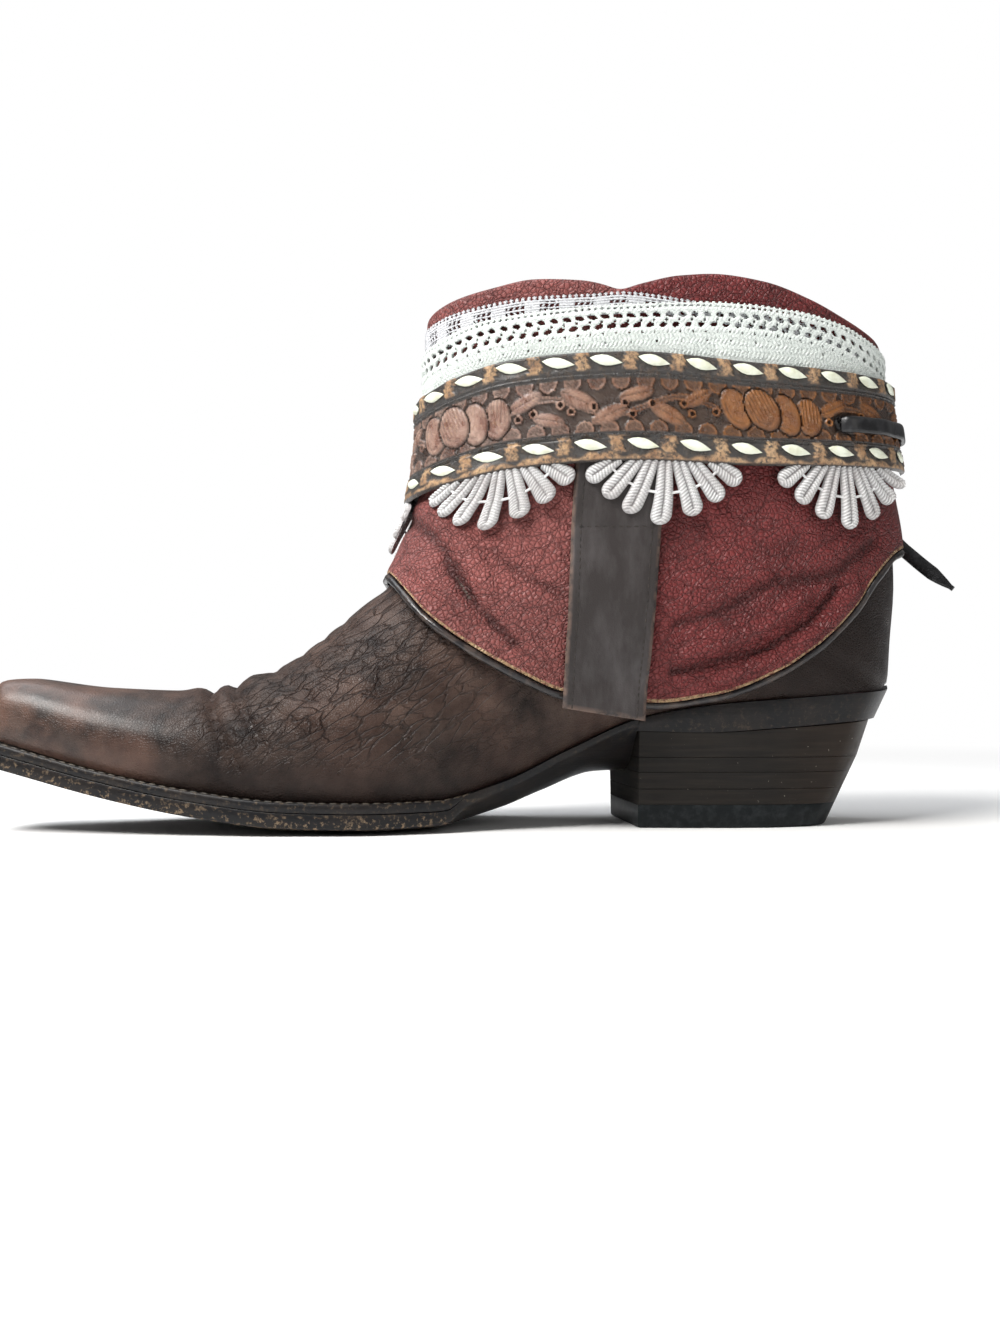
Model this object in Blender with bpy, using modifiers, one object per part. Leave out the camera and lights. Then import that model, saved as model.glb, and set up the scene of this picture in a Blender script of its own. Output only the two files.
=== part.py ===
"""Western ankle boot for the right foot, with its shaft turned down as a cuff.

A snip-toed boot on a welted leather sole with a stacked heel. The shaft is folded over, lining
side out, and dressed with two lace bands, a tooled belt tied at the back, a fan lace under the
belt and the boot's own pull straps. The toe points along -X, the inner side of the foot is -Y.

Tables and sizes are in millimetres, measured from the toe along the boot, from the middle line
across it and from the floor up. Points are turned into metres when a mesh is made.
"""
import math

import bmesh
import bpy
import numpy as np

MM = 0.001
MERGE = 1e-6
INNER, OUTER = -1, 1

# The middle of the boot's box, which becomes the origin.
MIDDLE_FROM_TOE = 155.7
MIDDLE_ACROSS = 1.8

# Walls, and how far each layer stands off the upper's outer face.
GAP = 0.3
UPPER_WALL = 2.4
CUFF_INSIDE, CUFF_FACE = 0.7, 2.5
CUFF_FLARE = 1.2
BINDING_RADIUS, BINDING_STAND_OFF = 1.0, 1.7
STRAP_INSIDE, STRAP_FACE = 3.0, 4.5
LADDER_INSIDE, LADDER_FACE = 2.8, 3.4
EYELET_INSIDE, EYELET_FACE = 3.7, 4.5
BELT_INSIDE, BELT_FACE = 4.8, 7.6
FAN_INSIDE, FAN_FACE = 5.9, 6.7
TIE_INSIDE, TIE_FACE = 8.1, 9.9

# Sole and heel.
WELT_THICKNESS = 3.0
WELT_END = 150.0
WELT_RUN_OUT = 6.0
WELT_UNDER_UPPER = 2.8
TOE_TURN = (20.0, 4.0)
INSOLE_THICKNESS = 3.0
INSOLE_INSIDE_RIM = 3.4
INSOLE_ROUND_END = 8.0
INSOLE_TOE_ROUND = (22.0, 13.0)
INSOLE_HEEL_ROUND = (252.0, 287.0)
HEEL_BREAST = 213.0
SHANK_END = HEEL_BREAST - 2 * GAP
HEEL_TOP = 45.3
HEEL_BACK_TOP, HEEL_BACK_FOOT = 304.2, 282.0
HEEL_FOOT_WIDTH = 0.84
CAP_HEIGHT = 7.6
CAP_EDGE = 1.0
LIFT_TOPS = (12.9, 18.4, 23.3)

# Bands round the shaft.
COLLAR_ROLL = 2.6
BELOW_FOLD = 1.6
TUCK = 4.0
BELT_END = 0.955
FAN_COUNT = 7
FAN_PITCH = 57.0
FAN_FIRST_TURN = -0.98
FAN_SHORT, FAN_LONG = 9.0, 20.0
POINTS_PER_FAN = 6
TIE_HEIGHT, TIE_WIDTH = 131.0, 5.5
TIE_HOLE_TURN = 0.74
KNOT_ACROSS = 7.4
KNOT_TURN = 0.9
TAIL_RADIUS = 1.3

# How finely the shapes are worked out.
HALVINGS = 24
SETTLING_STEPS = 12
UPPER_COLUMNS = 13
SHAFT_COLUMNS = 18
SHARP_ANGLE = 40

# The last, a row for each slice from the toe to above the collar. A slice runs from its ridge
# point on the front profile to its base point on the sole's feather line or on the back profile.
# half is its greatest half width, belly the share of the way down at which it lies, rim the half
# width left open at the base, and the powers round the front and the base of the slice.
LAST_COLUMNS = ("ridge_x", "ridge_z", "base_x", "base_z", "half", "rim",
                "swing", "rim_swing", "belly", "front_power", "base_power")
LAST_ROWS = {
    "toe face":     (4.0, 40.5, 4.0, 30.4, 7.5, 7.3, -4.0, -4.0, 0.60, 2.6, 2.4),
    "toe round":    (4.9, 45.3, 4.3, 30.3, 10.4, 10.2, -4.0, -4.0, 0.62, 2.6, 2.4),
    "toe corner":   (8.0, 48.4, 6.6, 29.6, 13.2, 12.7, -4.0, -4.0, 0.66, 2.6, 2.4),
    "toe top":      (17.0, 49.0, 16.0, 26.8, 17.2, 16.3, -3.8, -3.8, 0.70, 2.5, 2.4),
    "toe box":      (42.0, 46.0, 42.0, 19.7, 25.6, 24.2, -3.0, -3.0, 0.72, 2.3, 2.3),
    "toe break":    (70.0, 45.0, 70.0, 14.1, 34.2, 32.2, -1.5, -1.5, 0.70, 2.1, 2.3),
    "vamp":         (95.0, 52.4, 97.0, 10.9, 41.0, 38.8, 0.0, 0.5, 0.70, 2.0, 2.3),
    "ball":         (113.5, 65.2, 122.0, 10.2, 44.2, 41.5, 0.8, 2.0, 0.70, 2.0, 2.3),
    "instep foot":  (124.5, 74.3, 145.0, 10.4, 42.0, 38.0, 1.0, 3.5, 0.66, 2.0, 2.3),
    "instep":       (132.0, 79.9, 167.0, 15.7, 38.8, 31.5, 0.8, 4.5, 0.60, 2.1, 2.3),
    "throat":       (136.3, 86.5, 190.0, 26.2, 36.6, 28.0, 0.4, 4.5, 0.56, 2.2, 2.4),
    "ankle":        (139.3, 93.5, 213.0, 36.2, 35.6, 28.0, 0.0, 3.0, 0.52, 2.3, 2.4),
    "ankle back":   (142.0, 100.0, 238.0, 40.7, 35.6, 30.0, 0.0, 1.5, 0.50, 2.3, 2.5),
    "seat":         (144.2, 105.5, 265.0, 42.9, 36.0, 30.5, 0.0, 0.5, 0.50, 2.3, 2.6),
    "seat back":    (145.4, 110.0, 288.0, 44.7, 36.3, 25.5, 0.0, 0.0, 0.50, 2.3, 2.6),
    "heel round":   (146.2, 114.0, 300.0, 45.8, 36.5, 12.0, 0.0, 0.0, 0.50, 2.3, 2.6),
    "heel edge":    (146.8, 117.5, 303.0, 47.2, 36.5, 0.0, 0.0, 0.0, 0.50, 2.3, 2.6),
    "counter":      (147.4, 122.0, 304.2, 62.0, 36.5, 0.0, 0.0, 0.0, 0.50, 2.3, 2.6),
    "counter top":  (147.9, 128.0, 305.6, 80.0, 36.5, 0.0, 0.0, 0.0, 0.50, 2.3, 2.6),
    "back hem":     (148.2, 134.0, 305.4, 95.0, 36.5, 0.0, 0.0, 0.0, 0.50, 2.3, 2.5),
    "belt foot":    (148.4, 141.0, 303.0, 114.0, 36.4, 0.0, 0.0, 0.0, 0.50, 2.3, 2.4),
    "belt top":     (148.2, 150.0, 299.6, 134.0, 36.3, 0.0, 0.0, 0.0, 0.50, 2.3, 2.4),
    "lace":         (147.9, 159.0, 298.4, 150.0, 36.2, 0.0, 0.0, 0.0, 0.50, 2.3, 2.4),
    "collar":       (147.7, 169.0, 299.0, 164.0, 36.0, 0.0, 0.0, 0.0, 0.50, 2.3, 2.4),
    "above collar": (147.6, 183.0, 299.6, 183.0, 36.0, 0.0, 0.0, 0.0, 0.50, 2.3, 2.4),
}
FIRST_CUFF_ROW = list(LAST_ROWS).index("instep foot")
HEEL_EDGE_ROW = list(LAST_ROWS).index("heel edge")
LAST_ROW = len(LAST_ROWS) - 1

# The sole beyond the upper's rim, a row for each place along the rim: how far the edge stands
# out sideways and along the boot, the edge's thickness, and how much of the bottom is flat.
SOLE_COLUMNS = ("at", "margin", "reach", "edge", "flat")
SOLE_ROWS = (
    (4.0, 0.4, -2.8, 4.6, 0.5),
    (4.3, 1.6, -2.7, 4.6, 0.5),
    (6.6, 2.8, -2.4, 4.6, 0.5),
    (16.0, 3.5, -1.2, 4.6, 0.5),
    (42.0, 4.0, 0.0, 4.6, 0.5),
    (122.0, 4.2, 0.0, 4.6, 0.5),
    (145.0, 3.2, 0.0, 4.2, 0.4),
    (167.0, 2.0, 0.0, 2.6, 0.1),
    (190.0, 1.8, 0.0, 2.4, 0.0),
    (213.0, 1.6, 0.0, 2.4, 0.0),
    (265.0, 1.5, 0.0, 2.4, 0.0),
    (300.0, 1.8, 0.7, 2.4, 0.0),
    (303.0, 2.5, 1.2, 2.4, 0.0),
)

# Heights along the boot, as pairs of place and height.
SOLE_BOTTOM = ((4, 21.9), (42, 11.2), (73, 4.9), (92, 1.0), (104, 0), (142, 0), (152, 1.2),
               (170, 5.6), (184, 11.0), (202, 17.4), (213, 18.0))
SEAT_BOTTOM = ((212, 31.9), (235, 31.4), (262, 32.9), (290, 35.0), (305, 36.2))
HEM = ((134, 84), (144, 68.6), (156, 59.3), (172, 50.9), (185, 45.8), (200, 43.6), (217, 43),
       (236, 45.2), (256, 52.3), (272, 62.9), (282, 72.6), (289, 82.3), (299, 91.5), (307, 95))
COLLAR = ((146, 171), (154, 173.5), (165, 175.5), (178, 177.4), (192, 176.7), (205, 174.8), (224, 178.5),
          (236, 179.4), (252, 177.8), (269, 173), (281, 168.5), (290, 165.5), (299, 163))
BELT_LOW = ((144, 106), (153, 110), (172, 115), (210, 117.6), (248, 116.5), (303, 118))
BELT_HIGH = ((148, 142), (157, 146.5), (174, 150.6), (210, 152.4), (248, 149.8), (299, 148.5))
EYELET_HIGH = ((148, 158.5), (163, 164), (179, 166), (209, 168.3), (236, 169.4), (261, 168),
               (276, 165.5), (288, 161.5), (299, 157))

# The cuff's fold over the collar, as pairs of stand-off and drop from the collar's top.
CUFF_ROLL = ((2.1, -1.0), (0.7, -0.15), (-0.8, -0.1), (-2.0, -0.9), (-2.4, -COLLAR_ROLL))

# The pull straps hang askew over the side seams, and hang straight below the hem.
STRAP_TOP, STRAP_TOP_MIDDLE = 124.0, 205.4
STRAP_FOOT, STRAP_FOOT_MIDDLE = 37.4, 198.8
STRAP_WIDTH = 28.0
STRAP_FOOT_SLOPE = -0.15
STRAP_HANGS_FROM = 48.0
STRAP_FLARE_FROM, STRAP_FLARE = 118.0, 0.025

# The loose end of the tie, from the knot to its cut tip, as places along, across and up.
TAIL_ROUTE = ((308.0, 22.2, 128.7), (309.2, 22.6, 119.0), (310.8, 21.5, 109.0), (315.0, 17.0, 99.5),
              (320.5, 11.0, 92.0), (325.8, 6.8, 86.3), (331.5, 3.5, 81.0))
TAIL_STEPS = 16


def smooth(knots, values, at):
    """Cubic curve through the knots that never overshoots, as weighted harmonic slopes give it."""
    knots = np.asarray(knots, float)
    values = np.asarray(values, float)
    gap = np.diff(knots)
    rise = np.diff(values) / gap
    left, right = rise[:-1], rise[1:]
    same_way = left * right > 0
    weight_left = 2 * gap[1:] + gap[:-1]
    weight_right = gap[1:] + 2 * gap[:-1]
    slope = np.concatenate([rise[:1], np.zeros(len(rise) - 1), rise[-1:]])
    inner = (weight_left + weight_right) / (
        weight_left / np.where(same_way, left, 1) + weight_right / np.where(same_way, right, 1))
    slope[1:-1] = np.where(same_way, inner, 0)
    at = np.clip(at, knots[0], knots[-1])
    i = np.clip(np.searchsorted(knots, at, side="right") - 1, 0, len(gap) - 1)
    t = (at - knots[i]) / gap[i]
    return (values[i] * (1 + 2 * t) * (1 - t) ** 2 + slope[i] * gap[i] * t * (1 - t) ** 2
            + values[i + 1] * t ** 2 * (3 - 2 * t) + slope[i + 1] * gap[i] * t ** 2 * (t - 1))


def along(pairs, at):
    """Reads a height table at places along the boot."""
    places, heights = zip(*pairs)
    return smooth(places, heights, at)


def share_between(ends, at):
    """How far each place lies from one end to the other, from 0 to 1."""
    return np.clip((at - ends[0]) / (ends[1] - ends[0]), 0, 1)


def columns(names, rows):
    """Turns a table's rows into one array for each named column."""
    return dict(zip(names, np.array(list(rows), float).T))


LAST = columns(LAST_COLUMNS, LAST_ROWS.values())
SOLE = columns(SOLE_COLUMNS, SOLE_ROWS)


def last(column, row):
    """Reads a column of the last between its rows."""
    return smooth(np.arange(LAST_ROW + 1), LAST[column], row)


def upper_points(row, turn):
    """Outer face of the upper. row counts slices of the last; turn is 0 on the ridge and goes to
    -1 at the base or back seam on the inner side, and to 1 on the outer side.

    A slice is a quarter of a superellipse from the ridge to the belly and another from there to
    the base, the second stretched so that it stops where its half width is down to the rim's.
    """
    row, turn = np.broadcast_arrays(np.asarray(row, float), np.asarray(turn, float))
    around = np.abs(turn)
    half, belly = last("half", row), last("belly", row)
    front_power, base_power = last("front_power", row), last("base_power", row)
    left_open = np.clip(last("rim", row) / half, 0, 0.999)

    front = np.clip(around * 2, 0, 1) * math.pi / 2
    front_down = belly * (1 - np.cos(front) ** (2 / front_power))
    front_out = np.sin(front) ** (2 / front_power)
    share = np.sin(np.clip(around * 2 - 1, 0, 1) * math.pi / 2) ** (2 / base_power)
    base_down = belly + (1 - belly) * share
    base_out = (1 - (1 - left_open ** base_power) * share ** base_power) ** (1 / base_power)

    lower = around > 0.5
    down = np.where(lower, base_down, front_down)
    out = np.where(lower, base_out, front_out)
    out = np.where((around >= 1) & (left_open <= 0), 0, out)
    settle = np.clip((down - belly) / (1 - belly), 0, 1)
    middle = last("swing", row) + (last("rim_swing", row) - last("swing", row)) * settle
    x = last("ridge_x", row) + (last("base_x", row) - last("ridge_x", row)) * down
    z = last("ridge_z", row) + (last("base_z", row) - last("ridge_z", row)) * down
    y = middle + np.sign(turn) * half * out
    return np.stack([x, y, z], axis=-1)


def upper_normals(row, turn):
    """Outward unit normals of the upper, from small steps along the slices and round them."""
    row, turn = np.broadcast_arrays(np.asarray(row, float), np.asarray(turn, float))
    side = np.where(turn < 0, INNER, OUTER)
    around = np.abs(turn)
    step = 0.004
    more = np.clip(around + step, 0, 1)
    less = np.clip(around - step, 0, 1)
    round_it = upper_points(row, side * more) - upper_points(row, side * less)
    up_it = upper_points(row + step, turn) - upper_points(row - step, turn)
    normal = np.cross(round_it, up_it) * -side[..., None]
    on_seam = (around <= 0) | (around >= 1)
    normal[..., 1] = np.where(on_seam, 0, normal[..., 1])
    normal /= np.linalg.norm(normal, axis=-1, keepdims=True)
    middle = (upper_points(row, 0 * turn) + upper_points(row, 0 * turn + 1)) / 2
    outward = np.sum(normal * (upper_points(row, turn) - middle), axis=-1, keepdims=True)
    return normal * np.where(outward < 0, -1, 1)


def off_upper(row, turn, stand_off):
    """Points at a distance outside the upper's outer face."""
    return upper_points(row, turn) + upper_normals(row, turn) * np.asarray(stand_off)[..., None]


def row_at_height(turn, height):
    """The slice on which each turn of the upper reaches a height, a function of the place along
    the boot, found by halving."""
    turn = np.asarray(turn, float)
    low = np.full(turn.shape, float(FIRST_CUFF_ROW))
    high = np.full(turn.shape, float(LAST_ROW))
    for _ in range(HALVINGS):
        middle = (low + high) / 2
        point = upper_points(middle, turn)
        above = point[..., 2] > height(point[..., 0])
        high = np.where(above, middle, high)
        low = np.where(above, low, middle)
    return (low + high) / 2


def place_on_side(x, z, side):
    """The slice and turn of the upper's point at x and z on one side, found by halving."""
    low = np.zeros(x.shape)
    high = np.ones(x.shape)
    for _ in range(HALVINGS):
        around = (low + high) / 2
        row = row_at_height(side * around, lambda _: z)
        behind = upper_points(row, side * around)[..., 0] > x
        high = np.where(behind, around, high)
        low = np.where(behind, low, around)
    return row, side * around


def shaft_x(turn, z):
    """Place along the boot of a turn round the shaft, 0 in front and 1 or -1 at the back."""
    front = smooth(LAST["ridge_z"][FIRST_CUFF_ROW:], LAST["ridge_x"][FIRST_CUFF_ROW:],
                   np.maximum(z, HEM[0][1]))
    back = smooth(LAST["base_z"][HEEL_EDGE_ROW:], LAST["base_x"][HEEL_EDGE_ROW:], z)
    return front + (back - front) * (1 - np.cos(math.pi * np.abs(turn))) / 2


def height_round(turn, pairs):
    """Height of a curve drawn along the boot, at each turn round the shaft."""
    z = along(pairs, shaft_x(turn, pairs[0][1]))
    for _ in range(SETTLING_STEPS):
        z = along(pairs, shaft_x(turn, z))
    return z


def off_shaft(turn, z, stand_off):
    """Points of the standing shaft at a turn and a height, at a distance outside the upper."""
    turn, z, stand_off = np.broadcast_arrays(turn, z, stand_off)
    row, slice_turn = place_on_side(shaft_x(turn, z), z, np.where(turn < 0, INNER, OUTER))
    return off_upper(row, slice_turn, stand_off)


def grid_faces(rows, across, closed=False):
    """Quads of a grid of points; a closed grid joins its last column to its first."""
    row, column = np.mgrid[0:rows - 1, 0:across if closed else across - 1]
    following = (column + 1) % across
    quads = [row * across + column, row * across + following,
             (row + 1) * across + following, (row + 1) * across + column]
    return np.stack(quads, axis=-1).reshape(-1, 4).tolist()


def make_material(name, colour, roughness):
    material = bpy.data.materials.new(name)
    material.use_nodes = True
    shader = material.node_tree.nodes["Principled BSDF"]
    shader.inputs["Base Color"].default_value = (*colour, 1)
    shader.inputs["Roughness"].default_value = roughness
    material.diffuse_color = (*colour, 1)
    return material


def place_part(name, data, material):
    """Adds an object to the boot, under the empty that sets the origin."""
    data.materials.append(material)
    part = bpy.data.objects.new(name, data)
    boot.objects.link(part)
    part.parent = origin
    return part


def mesh_part(name, points, faces, material):
    """A mesh object from points in millimetres, with its doubled points merged."""
    mesh = bpy.data.meshes.new(name)
    mesh.from_pydata((np.reshape(points, (-1, 3)) * MM).tolist(), [], faces)
    shape = bmesh.new()
    shape.from_mesh(mesh)
    bmesh.ops.remove_doubles(shape, verts=shape.verts, dist=MERGE)
    bmesh.ops.dissolve_degenerate(shape, edges=shape.edges, dist=MERGE)
    bmesh.ops.recalc_face_normals(shape, faces=shape.faces)
    shape.to_mesh(mesh)
    shape.free()
    mesh.shade_smooth()
    mesh.set_sharp_from_angle(angle=math.radians(SHARP_ANGLE))
    return place_part(name, mesh, material)


def thicken(part, thickness, outward):
    """Gives a face a wall, on its outer or its inner side."""
    wall = part.modifiers.new("wall", "SOLIDIFY")
    wall.thickness = thickness * MM
    wall.offset = 1 if outward else -1
    wall.use_even_offset = True
    return part


def loft(name, rings, material, ends_meet=False):
    """A closed body through rings with equal numbers of points; open ends are capped."""
    rings = np.asarray(rings)
    count, around = rings.shape[:2]
    faces = grid_faces(count, around, closed=True)
    if ends_meet:
        faces += [[(count - 1) * around + a, (count - 1) * around + b, b, a]
                  for a, b in zip(range(around), np.roll(range(around), -1).tolist())]
    else:
        faces.append(list(range(around)))
        faces.append([(count - 1) * around + a for a in range(around)])
    return mesh_part(name, rings, faces, material)


def rim_place(at, side):
    """The upper's rim in plan, and its height, at places along the feather line."""
    rows = slice(0, HEEL_EDGE_ROW + 1)
    feather = LAST["base_x"][rows]
    y = smooth(feather, (LAST["rim_swing"] + side * LAST["rim"])[rows], at)
    z = smooth(feather, LAST["base_z"][rows], at)
    return at, y, z


def sole(column, at):
    """Reads a column of the sole's table at places along the rim."""
    return smooth(SOLE["at"], SOLE[column], at)


def sole_edge(at, side):
    """The sole's edge in plan, outside the rim by the margin and the reach."""
    x, y, _ = rim_place(at, side)
    return x + sole("reach", at), y + side * sole("margin", at)


def sole_top(at):
    """Top of the outsole: just under the rim at the back, and under the welt in front."""
    behind_welt = share_between((WELT_END + GAP, WELT_END + GAP + WELT_RUN_OUT), at)
    under_welt = (WELT_THICKNESS + GAP) * (1 - behind_welt)
    return rim_place(at, OUTER)[2] - GAP - under_welt


def draw_in(points):
    """Tapers points of the seat's outline towards the foot of the heel, by their height."""
    x, y, z = points.T
    rise = z / HEEL_TOP
    back = HEEL_BACK_FOOT + (HEEL_BACK_TOP - HEEL_BACK_FOOT) * rise
    x = HEEL_BREAST + (x - HEEL_BREAST) * (back - HEEL_BREAST) / (HEEL_BACK_TOP - HEEL_BREAST)
    y = y * (HEEL_FOOT_WIDTH + (1 - HEEL_FOOT_WIDTH) * rise)
    return np.column_stack([x, y, z])


def make_outsole(material):
    """The leather sole: toe spring, a flat tread, a round shank and the seat over the heel."""
    forefoot = [4, 4.15, 4.3, 5.2, 6.6, 10, 16, 28, 42, 56, 70, 84, 97, 104, 111, 117, 123, 129, 135,
                142, 147, WELT_END]
    waist = [153, 156.5, 162, 168, 178, 190, 201, SHANK_END]
    seat = [SHANK_END + GAP, 220, 230, 245, 265, 278, 288, 295, 300, 302, 303]
    across = np.array([-1, -0.85, -0.68, -0.5, -0.25, 0.25, 0.5, 0.68, 0.85, 1])
    rings = []
    for at in np.array(forefoot + waist + seat, float):
        x, inner = sole_edge(at, INNER)
        outer = sole_edge(at, OUTER)[1]
        top = sole_top(at)
        if at > SHANK_END:
            edge = middle = along(SEAT_BOTTOM, at)
        else:
            edge = top - sole("edge", at)
            middle = min(along(SOLE_BOTTOM, at), edge)
        flat = sole("flat", at)
        rise = np.clip((np.abs(across) - flat) / (1 - flat), 0, 1) ** 2
        y = (inner + outer) / 2 + across * (outer - inner) / 2
        bottom = np.stack([np.full_like(y, x), y, middle + (edge - middle) * rise], axis=-1)
        if at > SHANK_END:
            bottom = draw_in(bottom)
        rings.append(np.concatenate([[[x, outer, top], [x, inner, top]], bottom]))
    return loft("outsole", rings, material)


def make_welt(material):
    """The strip sewn round the forefoot between the upper and the sole."""
    going = np.array([WELT_END, 145, 134, 122, 110, 97, 84, 70, 56, 42, 28, 16, 10, 6.6, 5, 4.3, 4.0])
    rings = []
    for at, side in [(a, INNER) for a in going] + [(a, OUTER) for a in going[::-1]]:
        x, y = sole_edge(at, side)
        rim_x, rim_y, rim_z = rim_place(at, side)
        inside_x = rim_x + WELT_UNDER_UPPER * share_between(TOE_TURN, at)
        inside_y = rim_y - side * WELT_UNDER_UPPER
        top = rim_z - GAP
        low = top - WELT_THICKNESS
        rings.append([[x, y, top], [x, y, low], [inside_x, inside_y, low], [inside_x, inside_y, top]])
    return loft("welt", rings, material)


def make_insole(material):
    """The board that the foot stands on, lying on the outsole inside the welt and the upper."""
    places = (13, 16, 22, 32, 42, 56, 70, 97, 122, 142, WELT_END, 157, 167, 178, 190, 202, 213,
              225, 238, 252, 265, 275, 282, 287)
    rings = []
    for at in np.array(places, float):
        round_end = share_between(INSOLE_HEEL_ROUND, at) ** 2 + share_between(INSOLE_TOE_ROUND, at) ** 2
        inset = INSOLE_INSIDE_RIM + INSOLE_ROUND_END * round_end
        low = sole_top(at) + GAP
        high = low + INSOLE_THICKNESS
        inner = rim_place(at, INNER)[1] + inset
        outer = rim_place(at, OUTER)[1] - inset
        rings.append([[at, inner, low], [at, outer, low], [at, outer, high], [at, inner, high]])
    return loft("insole", rings, material)


def heel_edge(height, side, inset=0.0):
    """One edge of the heel in plan, the seat's own outline drawn in towards the heel's foot."""
    going = np.array([HEEL_BREAST, 222, 232, 246, 262, 276, 286, 293, 298, 301, 303])
    x, y = sole_edge(going, side)
    edge = draw_in(np.column_stack([x, y, np.full(len(x), height)]))
    edge[:, 0] = np.clip(edge[:, 0], HEEL_BREAST + inset, edge[-1, 0] - inset)
    edge[:, 1] -= side * inset
    return edge


def heel_layer(name, levels, material, seat=False):
    """One layer of the heel between levels, given as pairs of height and inset; under the seat
    its top follows the seat's bottom."""
    edges = [heel_edge(height, INNER, inset) for height, inset in levels[::-1]]
    edges += [heel_edge(height, OUTER, inset) for height, inset in levels]
    if seat:
        for edge in (edges[0], edges[-1]):
            edge[:, 2] = along(SEAT_BOTTOM, edge[:, 0]) - GAP
    return loft(name, np.stack(edges, axis=1), material)


def make_heel(lift_material, cap_material):
    """Stacked leather lifts under the seat, and the rubber cap under them."""
    heel_layer("heel_cap", [(0, CAP_EDGE), (CAP_EDGE, 0), (CAP_HEIGHT, 0)], cap_material)
    low = CAP_HEIGHT + GAP
    for number, top in enumerate(LIFT_TOPS, start=1):
        heel_layer(f"heel_lift_{number}", [(low, 0), (top, 0)], lift_material)
        low = top + GAP
    heel_layer(f"heel_lift_{len(LIFT_TOPS) + 1}", [(low, 0), (SEAT_BOTTOM[0][1], 0)],
               lift_material, seat=True)


def make_upper(material):
    """Vamp, counter and standing shaft as one hollow wall, open at the collar and underneath."""
    turn = np.linspace(-1, 1, 2 * UPPER_COLUMNS + 1)
    foot_rows = np.linspace(0, HEEL_EDGE_ROW, 2 * HEEL_EDGE_ROW + 1)
    top = row_at_height(turn, lambda x: along(COLLAR, x) - COLLAR_ROLL - BELOW_FOLD)
    share = np.linspace(0, 1, 11)[1:]
    shaft_rows = HEEL_EDGE_ROW + share[:, None] * (top - HEEL_EDGE_ROW)
    rows = np.concatenate([np.repeat(foot_rows[:, None], len(turn), axis=1), shaft_rows])
    faces = grid_faces(len(rows), len(turn))
    ridge = UPPER_COLUMNS
    faces.append([ridge - 1, ridge, ridge + 1])
    faces += [[ridge - i - 1, ridge - i, ridge + i, ridge + i + 1] for i in range(1, ridge)]
    upper = mesh_part("upper", upper_points(rows, turn), faces, material)
    return thicken(upper, UPPER_WALL, outward=False)


def shaft_turns():
    """Turns once round the shaft, from the back seam by the inner side and the front."""
    return np.linspace(-1, 1, 2 * SHAFT_COLUMNS + 1)


def make_cuff(material):
    """The upper part of the shaft folded over the collar and turned down outside."""
    turn = shaft_turns()[:-1]
    hem = height_round(turn, HEM)
    collar = height_round(turn, COLLAR)
    share = np.linspace(0, 1, 8)[:, None]
    wall = hem + share * (collar - COLLAR_ROLL - hem)
    flare = CUFF_FLARE * (1 - share) ** 2
    roll_out, roll_drop = np.array(CUFF_ROLL).T[:, :, None]
    rings = [off_shaft(turn, wall, CUFF_FACE + flare), off_shaft(turn, collar + roll_drop, roll_out),
             off_shaft(turn, wall, CUFF_INSIDE + flare)[::-1]]
    return loft("cuff", np.concatenate(rings), material, ends_meet=True)


def tube_part(name, points, radius, resolution, material, closed=False):
    """A round tube along points in millimetres."""
    curve = bpy.data.curves.new(name, "CURVE")
    curve.dimensions = "3D"
    curve.bevel_depth = radius * MM
    curve.bevel_resolution = resolution
    curve.use_fill_caps = not closed
    line = curve.splines.new("POLY")
    line.points.add(len(points) - 1)
    line.points.foreach_set("co", np.column_stack([points * MM, np.ones(len(points))]).ravel())
    line.use_cyclic_u = closed
    return place_part(name, curve, material)


def make_binding(material):
    """The rolled leather bead along the cuff's hem, set off from it square to the hem's run."""
    turn = shaft_turns()[:-1]
    z = height_round(turn, HEM)
    hem = off_shaft(turn, z, BINDING_STAND_OFF + CUFF_FLARE)
    outward = off_shaft(turn, z, BINDING_STAND_OFF + CUFF_FLARE + 1) - hem
    run = np.roll(hem, -1, axis=0) - np.roll(hem, 1, axis=0)
    down = np.cross(run, outward)
    down /= np.linalg.norm(down, axis=-1, keepdims=True)
    down *= np.where(down[:, 2:] > 0, -1, 1)
    return tube_part("cuff_binding", hem + down * (BINDING_RADIUS + 3 * GAP), BINDING_RADIUS, 1,
                     material, closed=True)


def make_strap(name, side, material):
    """A pull strap hanging over the cuff at a side seam, its foot below the hem."""
    across = np.linspace(-0.5, 0.5, 5)
    down = np.linspace(0, 1, 12)[:, None]
    foot = STRAP_FOOT + STRAP_FOOT_SLOPE * STRAP_WIDTH * across
    z = STRAP_TOP + (foot - STRAP_TOP) * down
    share = (STRAP_TOP - z) / (STRAP_TOP - STRAP_FOOT)
    x = STRAP_TOP_MIDDLE + (STRAP_FOOT_MIDDLE - STRAP_TOP_MIDDLE) * share + STRAP_WIDTH * across
    row, turn = place_on_side(x, np.maximum(z, STRAP_HANGS_FROM), side)
    flare = STRAP_FLARE * np.clip(STRAP_FLARE_FROM - z, 0, None)
    points = off_upper(row, turn, STRAP_INSIDE + flare)
    points[..., 2] = z
    strap = mesh_part(name, points, grid_faces(*x.shape), material)
    return thicken(strap, STRAP_FACE - STRAP_INSIDE, outward=True)


def make_band(name, turn, low, high, inside, face, material):
    """A band round the shaft between two heights, as a thin wall outside the upper."""
    share = np.linspace(0, 1, 3)[:, None]
    points = off_shaft(turn, low + share * (high - low), inside)
    band = mesh_part(name, points, grid_faces(*points.shape[:2]), material)
    return thicken(band, face - inside, outward=True)


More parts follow.
